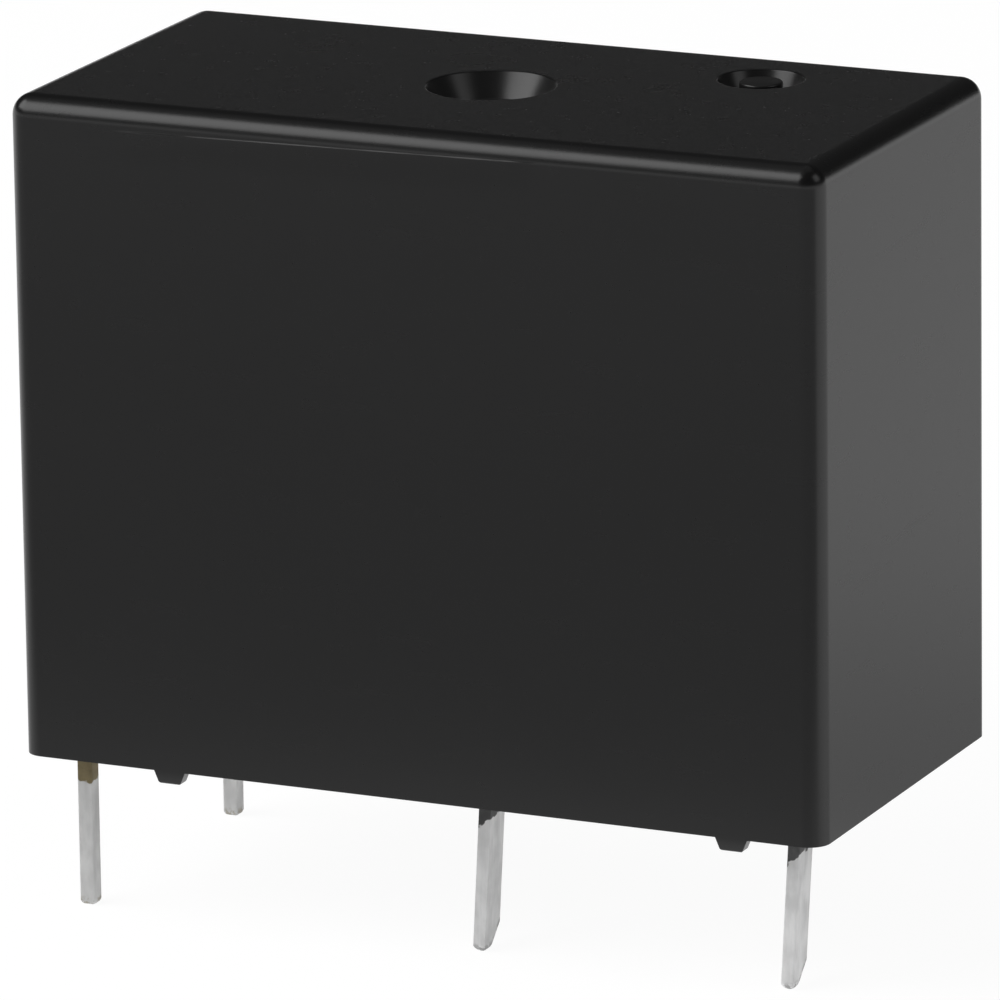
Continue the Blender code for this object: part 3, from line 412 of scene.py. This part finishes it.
low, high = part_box("coil_tape")
film_radius = (high.x - low.x) / 2
film_bore = film_radius - FILM_THICKNESS
profile = [(film_bore, low.z), (film_radius, low.z), (film_radius, high.z), (film_bore, high.z)]
film_wrap = turned(profile + profile[:1], (COIL_X, 0), steps=96)
for seam_side in (FILM_SEAM - SEAM_HALF_ANGLE, FILM_SEAM + SEAM_HALF_ANGLE):
    across = (-math.sin(seam_side), math.cos(seam_side), 0)
    split_by_plane(film_wrap, (COIL_X, 0, 0), across)
for vert in film_wrap.verts:
    arm = Vector((vert.co.x - COIL_X, vert.co.y))
    turn = (math.atan2(arm.y, arm.x) - FILM_SEAM) % math.tau / math.tau
    if arm.length > (film_radius + film_bore) / 2:
        shorter = arm * (1 - FILM_STEP * (1 - turn) / film_radius)
        vert.co.x, vert.co.y = COIL_X + shorter.x, shorter.y

film = Finish("amber film", {"Metallic": 0, "IOR": 1.6, "Specular IOR Level": 0.6})
bearing = film.maths("ARCTAN2", film.y, film.x - COIL_X)
turn = film.maths("FRACT", (bearing - (FILM_SEAM + math.tau)) / math.tau)
lapped = film.ramp(turn, 1 - FILM_LAP - LAP_FADE, 1 - FILM_LAP + LAP_FADE)
ridge = film.maths("SINE", film.z * (math.tau / TURN_PITCH))
wrinkle = film.grain(0.9 * MM, stretch=(1, 1, 0.35), detail=3)
amber = film.tint(wrinkle, AMBER, (0.62, 0.33, 0.075))
amber = film.tint(0.5 + 0.5 * ridge, times(0.8, AMBER), amber)
film.drive("Base Color", film.tint(lapped * 0.5, amber, (0.36, 0.16, 0.03)))
film.drive("Roughness", 0.20 + 0.12 * wrinkle)
film.relief(0.08 * ridge + wrinkle, 0.03 * MM)
finished(film_wrap, "coil_film", film, "amber_film", "housing", "coil_tape", smooth_to=50)


# Magnet frame
# A turned core with a pole disc, riveted into a bent yoke, and a bent armature that rocks on the
# yoke's edge under a wire spring. All but the spring are stamped or turned from soft iron and
# nickelled.

POLE_THICKNESS = 0.6 * MM
POLE_EDGE = 0.12 * MM
CORE_RADIUS = 1.2 * MM
TENON_RADIUS = 0.85 * MM
TENON_LENGTH = 1.1 * MM
TENON_CHAMFER = 0.1 * MM


def arc(centre, radius, start, end, rounds=4):
    """Points of (radius, height) along an arc between two angles in degrees."""
    points = []
    for step in range(rounds + 1):
        angle = math.radians(start + (end - start) * step / rounds)
        across = centre[0] + radius * math.cos(angle)
        points.append((across, centre[1] + radius * math.sin(angle)))
    return points


soft_iron = Finish("soft iron", {"Metallic": 1})
rolled = soft_iron.grain(0.06 * MM, stretch=(1, 0.08, 1), detail=3)
clouds = soft_iron.grain(0.9 * MM, detail=3)
iron = soft_iron.tint(clouds, (0.36, 0.36, 0.365), (0.49, 0.49, 0.49))
soft_iron.drive("Base Color", soft_iron.tint(0.3 * rolled, iron, (0.30, 0.29, 0.28)))
soft_iron.drive("Roughness", 0.30 + 0.16 * rolled + 0.08 * clouds)
soft_iron.relief(rolled + clouds, 0.004 * MM)

low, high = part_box("core")
pole_radius = (high.x - low.x) / 2
pole_low = high.z - POLE_THICKNESS
tenon_top = low.z + TENON_LENGTH
profile = [(0, high.z), (pole_radius - POLE_EDGE, high.z)]
profile += arc((pole_radius - POLE_EDGE, high.z - POLE_EDGE), POLE_EDGE, 90, 0)
profile += arc((pole_radius - POLE_EDGE / 2, pole_low + POLE_EDGE / 2), POLE_EDGE / 2, 0, -90)
profile += [(CORE_RADIUS, pole_low), (CORE_RADIUS, tenon_top)]
profile += [(TENON_RADIUS, tenon_top), (TENON_RADIUS, low.z + TENON_CHAMFER)]
profile += [(TENON_RADIUS - TENON_CHAMFER, low.z), (0, low.z)]
core = turned(profile, (COIL_X, 0))
finished(core, "turned_core", soft_iron, "soft_iron", "housing", "core")

yoke = merged_copy("yoke")
ease(yoke, 0.06 * MM)
finished(yoke, "bent_yoke", soft_iron, "soft_iron", "housing", "yoke")

armature = merged_copy("armature")
ease(armature, 0.06 * MM)
finished(armature, "bent_armature", soft_iron, "soft_iron", "armature", "armature")

spring_wire = Finish("spring wire", {"Metallic": 1})
drawn = spring_wire.grain(0.05 * MM, detail=3)
spring_wire.drive("Base Color", spring_wire.tint(drawn, (0.40, 0.40, 0.42), (0.55, 0.55, 0.57)))
spring_wire.drive("Roughness", 0.22 + 0.14 * drawn)
bail = merged_copy("hinge_spring")
finished(bail, "wire_bail", spring_wire, "spring_steel", "housing", "hinge_spring", smooth_to=70)


# Contacts
# A bronze leaf spring, riveted to the clamp plate, carries one silver contact. The other silver
# contact is riveted into the fixed blade. Heads are pressed to a dome and tails are struck flat.

LEAF_STRIPS = 30
STRIP_SNAP = 0.0001 * MM
DOME_STEPS = 8
CONTACT_Z = 12.9 * MM
CONTACT_HEAD = (0.9 * MM, 0.4 * MM)
CONTACT_TAIL = (0.4 * MM, 0.6 * MM, 0.15 * MM)
RIVET_HEAD = (0.5 * MM, 0.22 * MM)
RIVET_TAIL = (0.28 * MM, 0.5 * MM, 0.22 * MM)
RING_PITCH = 0.05 * MM
WORN_EDGE = (0.22 * MM, 0.42 * MM)
WORN_WAVE = 0.15 * MM

leaf_bronze = Finish("leaf bronze", {"Metallic": 1})
rolled = leaf_bronze.grain(0.05 * MM, stretch=(1, 1, 0.06), detail=3)
heat = leaf_bronze.grain(1.2 * MM)
bronze = leaf_bronze.tint(heat, (0.60, 0.38, 0.18), (0.71, 0.50, 0.28))
leaf_bronze.drive("Base Color", leaf_bronze.tint(0.25 * rolled, bronze, (0.42, 0.26, 0.13)))
leaf_bronze.drive("Roughness", 0.24 + 0.18 * rolled)
leaf_bronze.relief(rolled, 0.002 * MM)

leaf = merged_copy("moving_spring")
ease(leaf, 0.02 * MM)
low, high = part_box("moving_spring")
for strip in range(1, LEAF_STRIPS):
    height = low.z + (high.z - low.z) * strip / LEAF_STRIPS
    split_by_plane(leaf, (0, 0, height), (0, 0, 1), snap=STRIP_SNAP)
leaf_spring = finished(leaf, "leaf_spring", leaf_bronze, "spring_alloy", None, "moving_spring")
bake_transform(leaf_spring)


def struck_rivet(node, head_sizes, dome, tail_sizes, faces=1):
    """A rivet laid along X in its node's place, with its domed head towards +X or -X.

    The head has a radius and a thickness, and the tail a shank's radius and then the same two.
    """
    head, head_thickness = head_sizes
    shank, tail, tail_thickness = tail_sizes
    low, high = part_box(node)
    length = high.x - low.x
    bead = (head_thickness - dome) / 4
    profile = [(0, length)]
    for step in range(1, DOME_STEPS + 1):
        angle = math.pi / 2 * step / DOME_STEPS
        profile.append((head * math.sin(angle), length - dome + dome * math.cos(angle)))
    profile += arc((head - bead, length - head_thickness + bead), bead, 0, -90)
    profile += [(shank, length - head_thickness), (shank, tail_thickness)]
    profile += [(tail - bead, tail_thickness)]
    profile += arc((tail - bead, tail_thickness - bead), bead, 90, 0)
    profile += arc((tail - bead, bead), bead, 0, -90) + [(0, 0)]
    bm = turned(profile, (0, 0), steps=56)
    towards = Matrix.Rotation(math.radians(90 * faces), 3, "Y")
    bmesh.ops.rotate(bm, matrix=towards, verts=bm.verts)
    tail_end = low.x if faces > 0 else high.x
    seat = (tail_end, (low.y + high.y) / 2, (low.z + high.z) / 2)
    bmesh.ops.translate(bm, vec=seat, verts=bm.verts)
    return bm


silver = Finish("contact silver", {"Metallic": 1})
from_middle = silver.length(y=silver.y, z=silver.z - CONTACT_Z)
dust = silver.grain(0.08 * MM, detail=3)
rings = silver.maths("SINE", from_middle * (math.tau / RING_PITCH))
worn = silver.fall(from_middle + WORN_WAVE * dust, *WORN_EDGE)
bright = silver.tint(dust, (0.70, 0.69, 0.655), (0.83, 0.82, 0.79))
silver.drive("Base Color", silver.tint(0.45 * worn, bright, (0.50, 0.49, 0.46)))
silver.drive("Roughness", 0.24 + 0.10 * dust + 0.18 * worn)
silver.relief(rings * 0.3 + dust, 0.0015 * MM)

moving = struck_rivet("moving_contact", CONTACT_HEAD, 0.15 * MM, CONTACT_TAIL)
finished(moving, "moving_silver", silver, "silver_alloy", "contact_spring", "moving_contact")
still = struck_rivet("fixed_contact", CONTACT_HEAD, 0.05 * MM, CONTACT_TAIL, faces=-1)
finished(still, "fixed_silver", silver, "silver_alloy", "housing", "fixed_contact")

for end in ("front", "back"):
    node = f"spring_rivet_{end}"
    rivet = struck_rivet(node, RIVET_HEAD, 0.11 * MM, RIVET_TAIL)
    finished(rivet, f"struck_rivet_{end}", leaf_bronze, "spring_alloy", "housing", node)


# Card
# A moulded slider of the bobbin's white nylon. Its fork sits on the armature's tongue, and its nose
# goes through the window of the leaf spring, which it pushes.

card = merged_copy("card")
ease(card, 0.03 * MM)
finished(card, "slide_card", white_moulding, "white_moulding", "card", "card")


# Cover
# One black moulded cover with rounded edges, a sharp rim and four small feet. The countersunk mark
# of the gate and a round vent, whose nib can be nipped off, show in its roof. The mould left a
# faint line along the front, just under the roof's rounded edge.

COVER_WALL = 0.6 * MM
COVER_ROOF = 0.8 * MM
EDGE_RADIUS = 0.5 * MM
INNER_RADIUS = 0.3 * MM
GATE_X = -0.1 * MM
GATE_Y = -0.1 * MM
GATE_MOUTH = 1.5 * MM
GATE_FLOOR = 1.15 * MM
GATE_DEPTH = 0.6 * MM
BOSS_RADIUS = 1.8 * MM
BOSS_THICKNESS = 0.3 * MM
VENT_X = 5.37 * MM
VENT_Y = 2.7 * MM
VENT_MOUTH = 1.0 * MM
VENT_FLOOR = 0.85 * MM
VENT_DEPTH = 0.4 * MM
NIB_RADIUS = 0.5 * MM
NIB_DROP = 0.05 * MM
LIP = 0.05 * MM
FEET_X = (-6.2 * MM, 7.8 * MM)
FOOT_HEIGHT = 0.3 * MM
FOOT_ROOT = 0.78 * MM
FOOT_TIP = 0.53 * MM
FOOT_DEPTH = 0.3 * MM

cover_low, cover_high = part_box("cover")
rim_z = cover_low.z + FOOT_HEIGHT
roof_top = cover_high.z
roof_low = roof_top - COVER_ROOF
inner_x = cover_high.x - COVER_WALL
inner_y = cover_high.y - COVER_WALL


def block(low, high):
    """A box between two corners."""
    bm = bmesh.new()
    low, high = Vector(low), Vector(high)
    bmesh.ops.create_cube(bm, size=1)
    bmesh.ops.scale(bm, vec=high - low, verts=bm.verts)
    bmesh.ops.translate(bm, vec=(low + high) / 2, verts=bm.verts)
    return bm


def open_box(low, high, radius, rounds):
    """A box whose upright and upper edges are rounded, and whose lower rim stays sharp."""
    bm = block(low, high)
    upper = [e for e in bm.edges if max(v.co.z for v in e.verts) > low[2] + radius]
    round_off(bm, upper, radius, rounds)
    return bm


def shape_with(piece, bm, name, operation):
    """Cuts a form out of the piece, or joins it to the piece, for good."""
    tool = placed(name, mesh_of(bm, name))
    change = piece.modifiers.new(name, "BOOLEAN")
    change.operation = operation
    change.solver = "EXACT"
    change.object = tool
    depsgraph = bpy.context.evaluated_depsgraph_get()
    changed = bpy.data.meshes.new_from_object(piece.evaluated_get(depsgraph))
    piece.modifiers.clear()
    piece.data = changed
    bpy.data.objects.remove(tool)


outer = open_box((cover_low.x, cover_low.y, rim_z), cover_high, EDGE_RADIUS, rounds=10)
shell = placed("cover_blank", mesh_of(outer, "cover_blank"))
below_rim = (-inner_x, -inner_y, rim_z - MM)
hollow = open_box(below_rim, (inner_x, inner_y, roof_low), INNER_RADIUS, rounds=4)
shape_with(shell, hollow, "hollow", "DIFFERENCE")

boss_profile = [(0, roof_low - BOSS_THICKNESS), (BOSS_RADIUS, roof_low - BOSS_THICKNESS)]
boss_profile += [(BOSS_RADIUS, roof_low + LIP), (0, roof_low + LIP)]
shape_with(shell, turned(boss_profile, (GATE_X, GATE_Y)), "boss", "UNION")


def dish_profile(mouth, floor, depth):
    """A round recess with a sloping wall whose lip and floor are eased by small arcs."""
    slope = math.degrees(math.atan2(depth, mouth - floor))
    half = math.radians(slope / 2)
    lip = (mouth + LIP * math.tan(half), roof_top - LIP)
    root = (floor - LIP * math.tan(half), roof_top - depth + LIP)
    points = [(0, roof_top - depth)]
    points += arc(root, LIP, -90, slope - 90)
    points += arc(lip, LIP, slope + 90, 90)
    return points + [(lip[0], roof_top + MM), (0, roof_top + MM)]


gate_profile = dish_profile(GATE_MOUTH, GATE_FLOOR, GATE_DEPTH)
shape_with(shell, turned(gate_profile, (GATE_X, GATE_Y)), "gate", "DIFFERENCE")
vent_profile = dish_profile(VENT_MOUTH, VENT_FLOOR, VENT_DEPTH)
shape_with(shell, turned(vent_profile, (VENT_X, VENT_Y)), "vent", "DIFFERENCE")

nib_top = roof_top - NIB_DROP
nib_root = roof_top - VENT_DEPTH - LIP
nib_profile = [(0, nib_root), (NIB_RADIUS, nib_root)]
nib_profile += arc((NIB_RADIUS - LIP, nib_top - LIP), LIP, 0, 90) + [(0, nib_top)]
shape_with(shell, turned(nib_profile, (VENT_X, VENT_Y)), "nib", "UNION")


def add_foot(bm, x, side):
    """A tapered foot that stands on the rim, with its outer face flush with the wall."""
    wall = sorted((side * cover_high.y, side * (cover_high.y - FOOT_DEPTH)))
    half = FOOT_ROOT / 2
    foot = block((x - half, wall[0], cover_low.z), (x + half, wall[1], rim_z))
    tip = [v for v in foot.verts if v.co.z < (cover_low.z + rim_z) / 2]
    taper = (FOOT_TIP / FOOT_ROOT, 1, 1)
    bmesh.ops.scale(foot, vec=taper, verts=tip, space=Matrix.Translation((-x, 0, 0)))
    round_off(foot, [e for e in foot.edges if all(v in tip for v in e.verts)], LIP, rounds=4)
    mesh = mesh_of(foot, "foot")
    bm.from_mesh(mesh)
    bpy.data.meshes.remove(mesh)


cover = bmesh.new()
cover.from_mesh(shell.data)
bpy.data.objects.remove(shell)
bmesh.ops.remove_doubles(cover, verts=cover.verts, dist=SAME_PLACE)
for x in FEET_X:
    for side in (-1, 1):
        add_foot(cover, x, side)

WITNESS_Z = roof_top - EDGE_RADIUS
WITNESS_RISE = 0.014
WITNESS_HALF = 0.03 * MM
WITNESS_FADE = 0.8 * MM
WITNESS_START = -6.4 * MM
WITNESS_END = 2.4 * MM
FRONT_ONLY = (-4.0 * MM, -3.0 * MM)
RECESS_STARTS = (0.01 * MM, 0.05 * MM)
RECESS_FADE = 0.1 * MM
# The grey inside the gate mark and the vent is painted light, which lifts their shade.
RECESS_PAINTED_LIGHT = (0.014, 0.014, 0.014)

black_moulding = Finish("black moulding", {"Metallic": 0, "IOR": 1.5, "Specular IOR Level": 0.5})
skin = black_moulding.grain(0.06 * MM, detail=3)
flow = black_moulding.grain(3.0 * MM, stretch=(0.6, 1, 1), detail=3)
clouds = black_moulding.grain(0.5 * MM, detail=3)
rubs = black_moulding.grain(0.35 * MM, stretch=(0.12, 0.12, 1), detail=4)
rubbed = black_moulding.ramp(rubs, 0.60, 0.80)
below = WITNESS_Z + WITNESS_RISE * black_moulding.x - black_moulding.z
step = black_moulding.ramp(below, -WITNESS_HALF, WITNESS_HALF)
step = step - black_moulding.ramp(below, WITNESS_HALF, WITNESS_FADE)
along = black_moulding.ramp(black_moulding.x, WITNESS_START - MM, WITNESS_START)
along = along * black_moulding.fall(black_moulding.x, WITNESS_END, WITNESS_END + MM)
along = along * black_moulding.fall(black_moulding.y, *FRONT_ONLY)
witness = step * along * (0.4 + 0.6 * black_moulding.ramp(flow, 0.35, 0.60))
shade = black_moulding.tint(flow, (0.0050, 0.0050, 0.0052), (0.0085, 0.0085, 0.0088))
# Inside the gate mark and the vent the colour goes to a lighter grey: painted light that brightens
# their shaded hollows. The same mask also makes them a little rougher.
sunk = black_moulding.ramp(roof_top - black_moulding.z, *RECESS_STARTS)
recess_light_and_roughness = 0
for centre_x, centre_y, mouth in ((GATE_X, GATE_Y, GATE_MOUTH), (VENT_X, VENT_Y, VENT_MOUTH)):
    reach = black_moulding.length(black_moulding.x - centre_x, black_moulding.y - centre_y)
    recess_light_and_roughness = recess_light_and_roughness + black_moulding.fall(reach, mouth, mouth + RECESS_FADE) * sunk
polish = 0.235 + 0.04 * clouds + 0.02 * skin + 0.03 * rubbed + 0.03 * recess_light_and_roughness
black_moulding.drive("Base Color", black_moulding.tint(recess_light_and_roughness, shade, RECESS_PAINTED_LIGHT))
black_moulding.drive("Roughness", polish)
black_moulding.relief(skin * 0.022 + witness, 0.018 * MM)
finished(cover, "moulded_cover", black_moulding, "black_moulding", "housing", "cover")


# Sealing resin
# Black epoxy, poured over the base with the relay on its back. It wetted the wall and the four
# terminals before it set, so it climbs them in a small fillet, and its face is smooth and shiny.

RESIN_CELL = 0.12 * MM
CLIMB = 0.13 * MM
CLIMB_REACH = 0.22 * MM
SINK = 0.05 * MM
BLADES_X = (1.27 * MM, 8.89 * MM)

resin_low, resin_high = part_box("sealing_resin")
posts = [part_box(f"coil_terminal_{end}") for end in ("front", "back")]
blades_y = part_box("common_terminal")[0].y
for centre_x in BLADES_X:
    corner = Vector((centre_x - BLADE_THICKNESS / 2, blades_y, 0))
    posts.append((corner, corner + Vector((BLADE_THICKNESS, BLADE_WIDTH, 0))))

resin = bmesh.new()
cells_x = round(2 * inner_x / RESIN_CELL)
cells_y = round(2 * inner_y / RESIN_CELL)
bmesh.ops.create_grid(resin, x_segments=cells_x, y_segments=cells_y, size=0.5)
bmesh.ops.scale(resin, vec=(2 * inner_x, 2 * inner_y, 1), verts=resin.verts)
bmesh.ops.reverse_faces(resin, faces=resin.faces)
for vert in resin.verts:
    x, y = vert.co.x, vert.co.y
    to_wall = min(inner_x - abs(x), inner_y - abs(y))
    climb = math.exp(-to_wall / CLIMB_REACH)
    for low, high in posts:
        beside = max(low.x - x, x - high.x, 0)
        before = max(low.y - y, y - high.y, 0)
        climb = max(climb, math.exp(-math.hypot(beside, before) / CLIMB_REACH))
    vert.co.z = resin_low.z + SINK * (1 - climb) - CLIMB * climb
raised = bmesh.ops.extrude_face_region(resin, geom=resin.faces[:])["geom"]
for vert in [v for v in raised if isinstance(v, bmesh.types.BMVert)]:
    vert.co.z = resin_high.z
bmesh.ops.recalc_face_normals(resin, faces=resin.faces)

epoxy = Finish("epoxy", {"Metallic": 0, "IOR": 1.55})
ripple = epoxy.grain(0.9 * MM)
specks = epoxy.grain(0.06 * MM, detail=1)
bubble = epoxy.ramp(specks, 0.70, 0.76)
epoxy.drive("Base Color", epoxy.tint(ripple, (0.012, 0.011, 0.010), (0.024, 0.022, 0.019)))
epoxy.drive("Roughness", 0.16 + 0.14 * ripple + 0.3 * bubble)
epoxy.relief(ripple + 0.15 * bubble, 0.02 * MM)
finished(resin, "poured_resin", epoxy, "epoxy", "housing", "sealing_resin", smooth_to=60)


# Floor
# A wide white table, dished up at its far edge so that it fills every view down to the level. It
# is white to the eye and takes a soft shadow. What a shiny face mirrors of it is a painted
# reflection, glowing darker in front of the case and behind it, and bright to its right, close
# under it and far away.

CORNER_X = 9.5 * MM
CORNER_Y = -4.5 * MM
FLOOR_RADIUS = 2.4
DISH_START = 1.6
DISH_RISE = 0.16
FRONT_FADE = (-22 * MM, -10 * MM)
FRONT_SHADES = (0.40, 0.78)
BEHIND_BEARINGS = (math.radians(62), math.radians(82))
BEHIND_FADE = (-2 * MM, 10 * MM)
BEHIND_REACH = (20 * MM, 46 * MM)
BEHIND_SHADES = (0.47, 0.66)
RIGHT_BEARINGS = (math.radians(105), math.radians(150))
UNDER_REACH = (12 * MM, 17 * MM)
UNDER_SHADE = 0.95
FAR_REACH = (100 * MM, 250 * MM)
SEEN_SHADE = 0.95

floor_bm = bmesh.new()
bmesh.ops.create_circle(floor_bm, cap_ends=True, segments=96, radius=DISH_START)
rim_edges = [e for e in floor_bm.edges if e.is_boundary]
lifted = bmesh.ops.extrude_edge_only(floor_bm, edges=rim_edges)["geom"]
for vert in [v for v in lifted if isinstance(v, bmesh.types.BMVert)]:
    vert.co.x *= FLOOR_RADIUS / DISH_START
    vert.co.y *= FLOOR_RADIUS / DISH_START
    vert.co.z = DISH_RISE
floor_bm.normal_update()
bmesh.ops.reverse_faces(floor_bm, faces=[f for f in floor_bm.faces if f.normal.z < 0])
floor = placed("floor", mesh_of(floor_bm, "floor"))


def between(share, first, second):
    """The first number at share 0 and the second at share 1."""
    return first + share * (second - first)


table = Finish("white table", {})
camera_ray, glossy_ray, clear_ray = (
    table.node("ShaderNodeLightPath", output=f"Is {kind} Ray")
    for kind in ("Camera", "Glossy", "Transmission")
)
mirrored = table.maths("MAXIMUM", glossy_ray, clear_ray)
seen = table.maths("MAXIMUM", camera_ray, mirrored)
# The shade by place below is a painted reflection: the table glows this way for shiny faces only.
ahead = table.ramp(table.y, *FRONT_FADE, *FRONT_SHADES)
bearing = table.maths("ARCTAN2", table.x - CORNER_X, CORNER_Y - table.y)
behind = table.ramp(bearing, *BEHIND_BEARINGS)
behind = table.maths("MAXIMUM", behind, table.ramp(table.y, *BEHIND_FADE))
away = table.length(table.x, table.y, table.z)
back_half = table.ramp(away, *BEHIND_REACH, *BEHIND_SHADES)
back_half = between(table.fall(abs(bearing), *RIGHT_BEARINGS), back_half, 1.0)
shade = between(behind, ahead, back_half)
shade = between(table.fall(away, *UNDER_REACH), shade, UNDER_SHADE)
shade = between(table.ramp(away, *FAR_REACH), shade, 1.0)
strength = camera_ray * SEEN_SHADE + mirrored * shade
white_and_painted_reflection = table.node("ShaderNodeEmission", {"Color": (1, 1, 1, 1), "Strength": strength})
paint = table.tint(seen, (0.8, 0.8, 0.8), (0.12, 0.12, 0.12))
lit = table.node("ShaderNodeBsdfDiffuse", {"Color": paint})
both = table.node("ShaderNodeAddShader", {0: white_and_painted_reflection, 1: lit})
from_below = table.node("ShaderNodeNewGeometry", output="Backfacing")
clear = table.node("ShaderNodeBsdfTransparent")
surface = table.node("ShaderNodeMixShader", {0: from_below, 1: both, 2: clear})
table.feed(table.tree.nodes["Material Output"].inputs["Surface"], surface)
floor.data.materials.append(table.material)


# Light
# One large soft box in front, above and to the left lays the long highlight along the roof's front
# edge. Three weak ones fill from the right, from low in front and from the ceiling. The room is
# dim, and white only to the eye.

ROOM_LEVEL = 0.05


def softbox(name, way, distance, size, power):
    """A rectangular lamp that faces the relay from a direction."""
    data = bpy.data.lights.new(name, "AREA")
    data.shape = "RECTANGLE"
    data.size, data.size_y = size
    data.energy = power
    lamp = placed(name, data)
    way = Vector(way).normalized()
    lamp.location = way * distance
    lamp.rotation_euler = way.to_track_quat("Z", "Y").to_euler()


softbox("key_softbox", (-0.60, -0.45, 0.70), distance=0.36, size=(0.34, 0.23), power=0.72)
softbox("right_fill", (0.80, 0.02, 0.60), distance=0.40, size=(0.20, 0.20), power=0.12)
softbox("front_fill", (-0.40, -0.89, 0.21), distance=0.50, size=(0.30, 0.18), power=0.035)
softbox("ceiling", (-0.15, 0.10, 0.98), distance=0.50, size=(0.50, 0.40), power=0.09)

room = bpy.data.worlds.new("dim room")
room.use_nodes = True
backdrop = room.node_tree.nodes["Background"]
seen_by = room.node_tree.nodes.new("ShaderNodeLightPath")
brightness = room.node_tree.nodes.new("ShaderNodeMapRange")
brightness.inputs["To Min"].default_value = ROOM_LEVEL
backdrop.inputs["Color"].default_value = (1, 1, 1, 1)
room.node_tree.links.new(seen_by.outputs["Is Camera Ray"], brightness.inputs["Value"])
room.node_tree.links.new(brightness.outputs["Result"], backdrop.inputs["Strength"])
bpy.context.scene.world = room
bpy.context.scene.view_settings.view_transform = "Standard"


# Camera
# The photograph's own view: from the front right and a little above, from far away, with a slight
# tilt to the left.

AZIMUTH = math.radians(24.581)
ELEVATION = math.radians(15.238)
ROLL = math.radians(-0.764)
DISTANCE = 244.96 * MM
CASE_MIDDLE = Vector((0, 0, 11.6 * MM))
AIM_RIGHT = 0.0316 * MM
AIM_UP = 1.913 * MM
FRAME_PIXELS = 1000
FOCAL_PIXELS = 10694

back = Vector(
    (
        math.sin(AZIMUTH) * math.cos(ELEVATION),
        -math.cos(AZIMUTH) * math.cos(ELEVATION),
        math.sin(ELEVATION),
    )
)
sideways = Vector((math.cos(AZIMUTH), math.sin(AZIMUTH), 0))
upright = back.cross(sideways)
right = sideways * math.cos(ROLL) + upright * math.sin(ROLL)
up = upright * math.cos(ROLL) - sideways * math.sin(ROLL)

lens = bpy.data.cameras.new("camera")
lens.sensor_width = 36
lens.lens = lens.sensor_width * FOCAL_PIXELS / FRAME_PIXELS
lens.clip_start = 0.01
lens.clip_end = 10
camera = placed("camera", lens)
camera.rotation_euler = Matrix((right, up, back)).transposed().to_euler()
camera.location = CASE_MIDDLE + back * DISTANCE - right * AIM_RIGHT - up * AIM_UP
bpy.context.scene.camera = camera
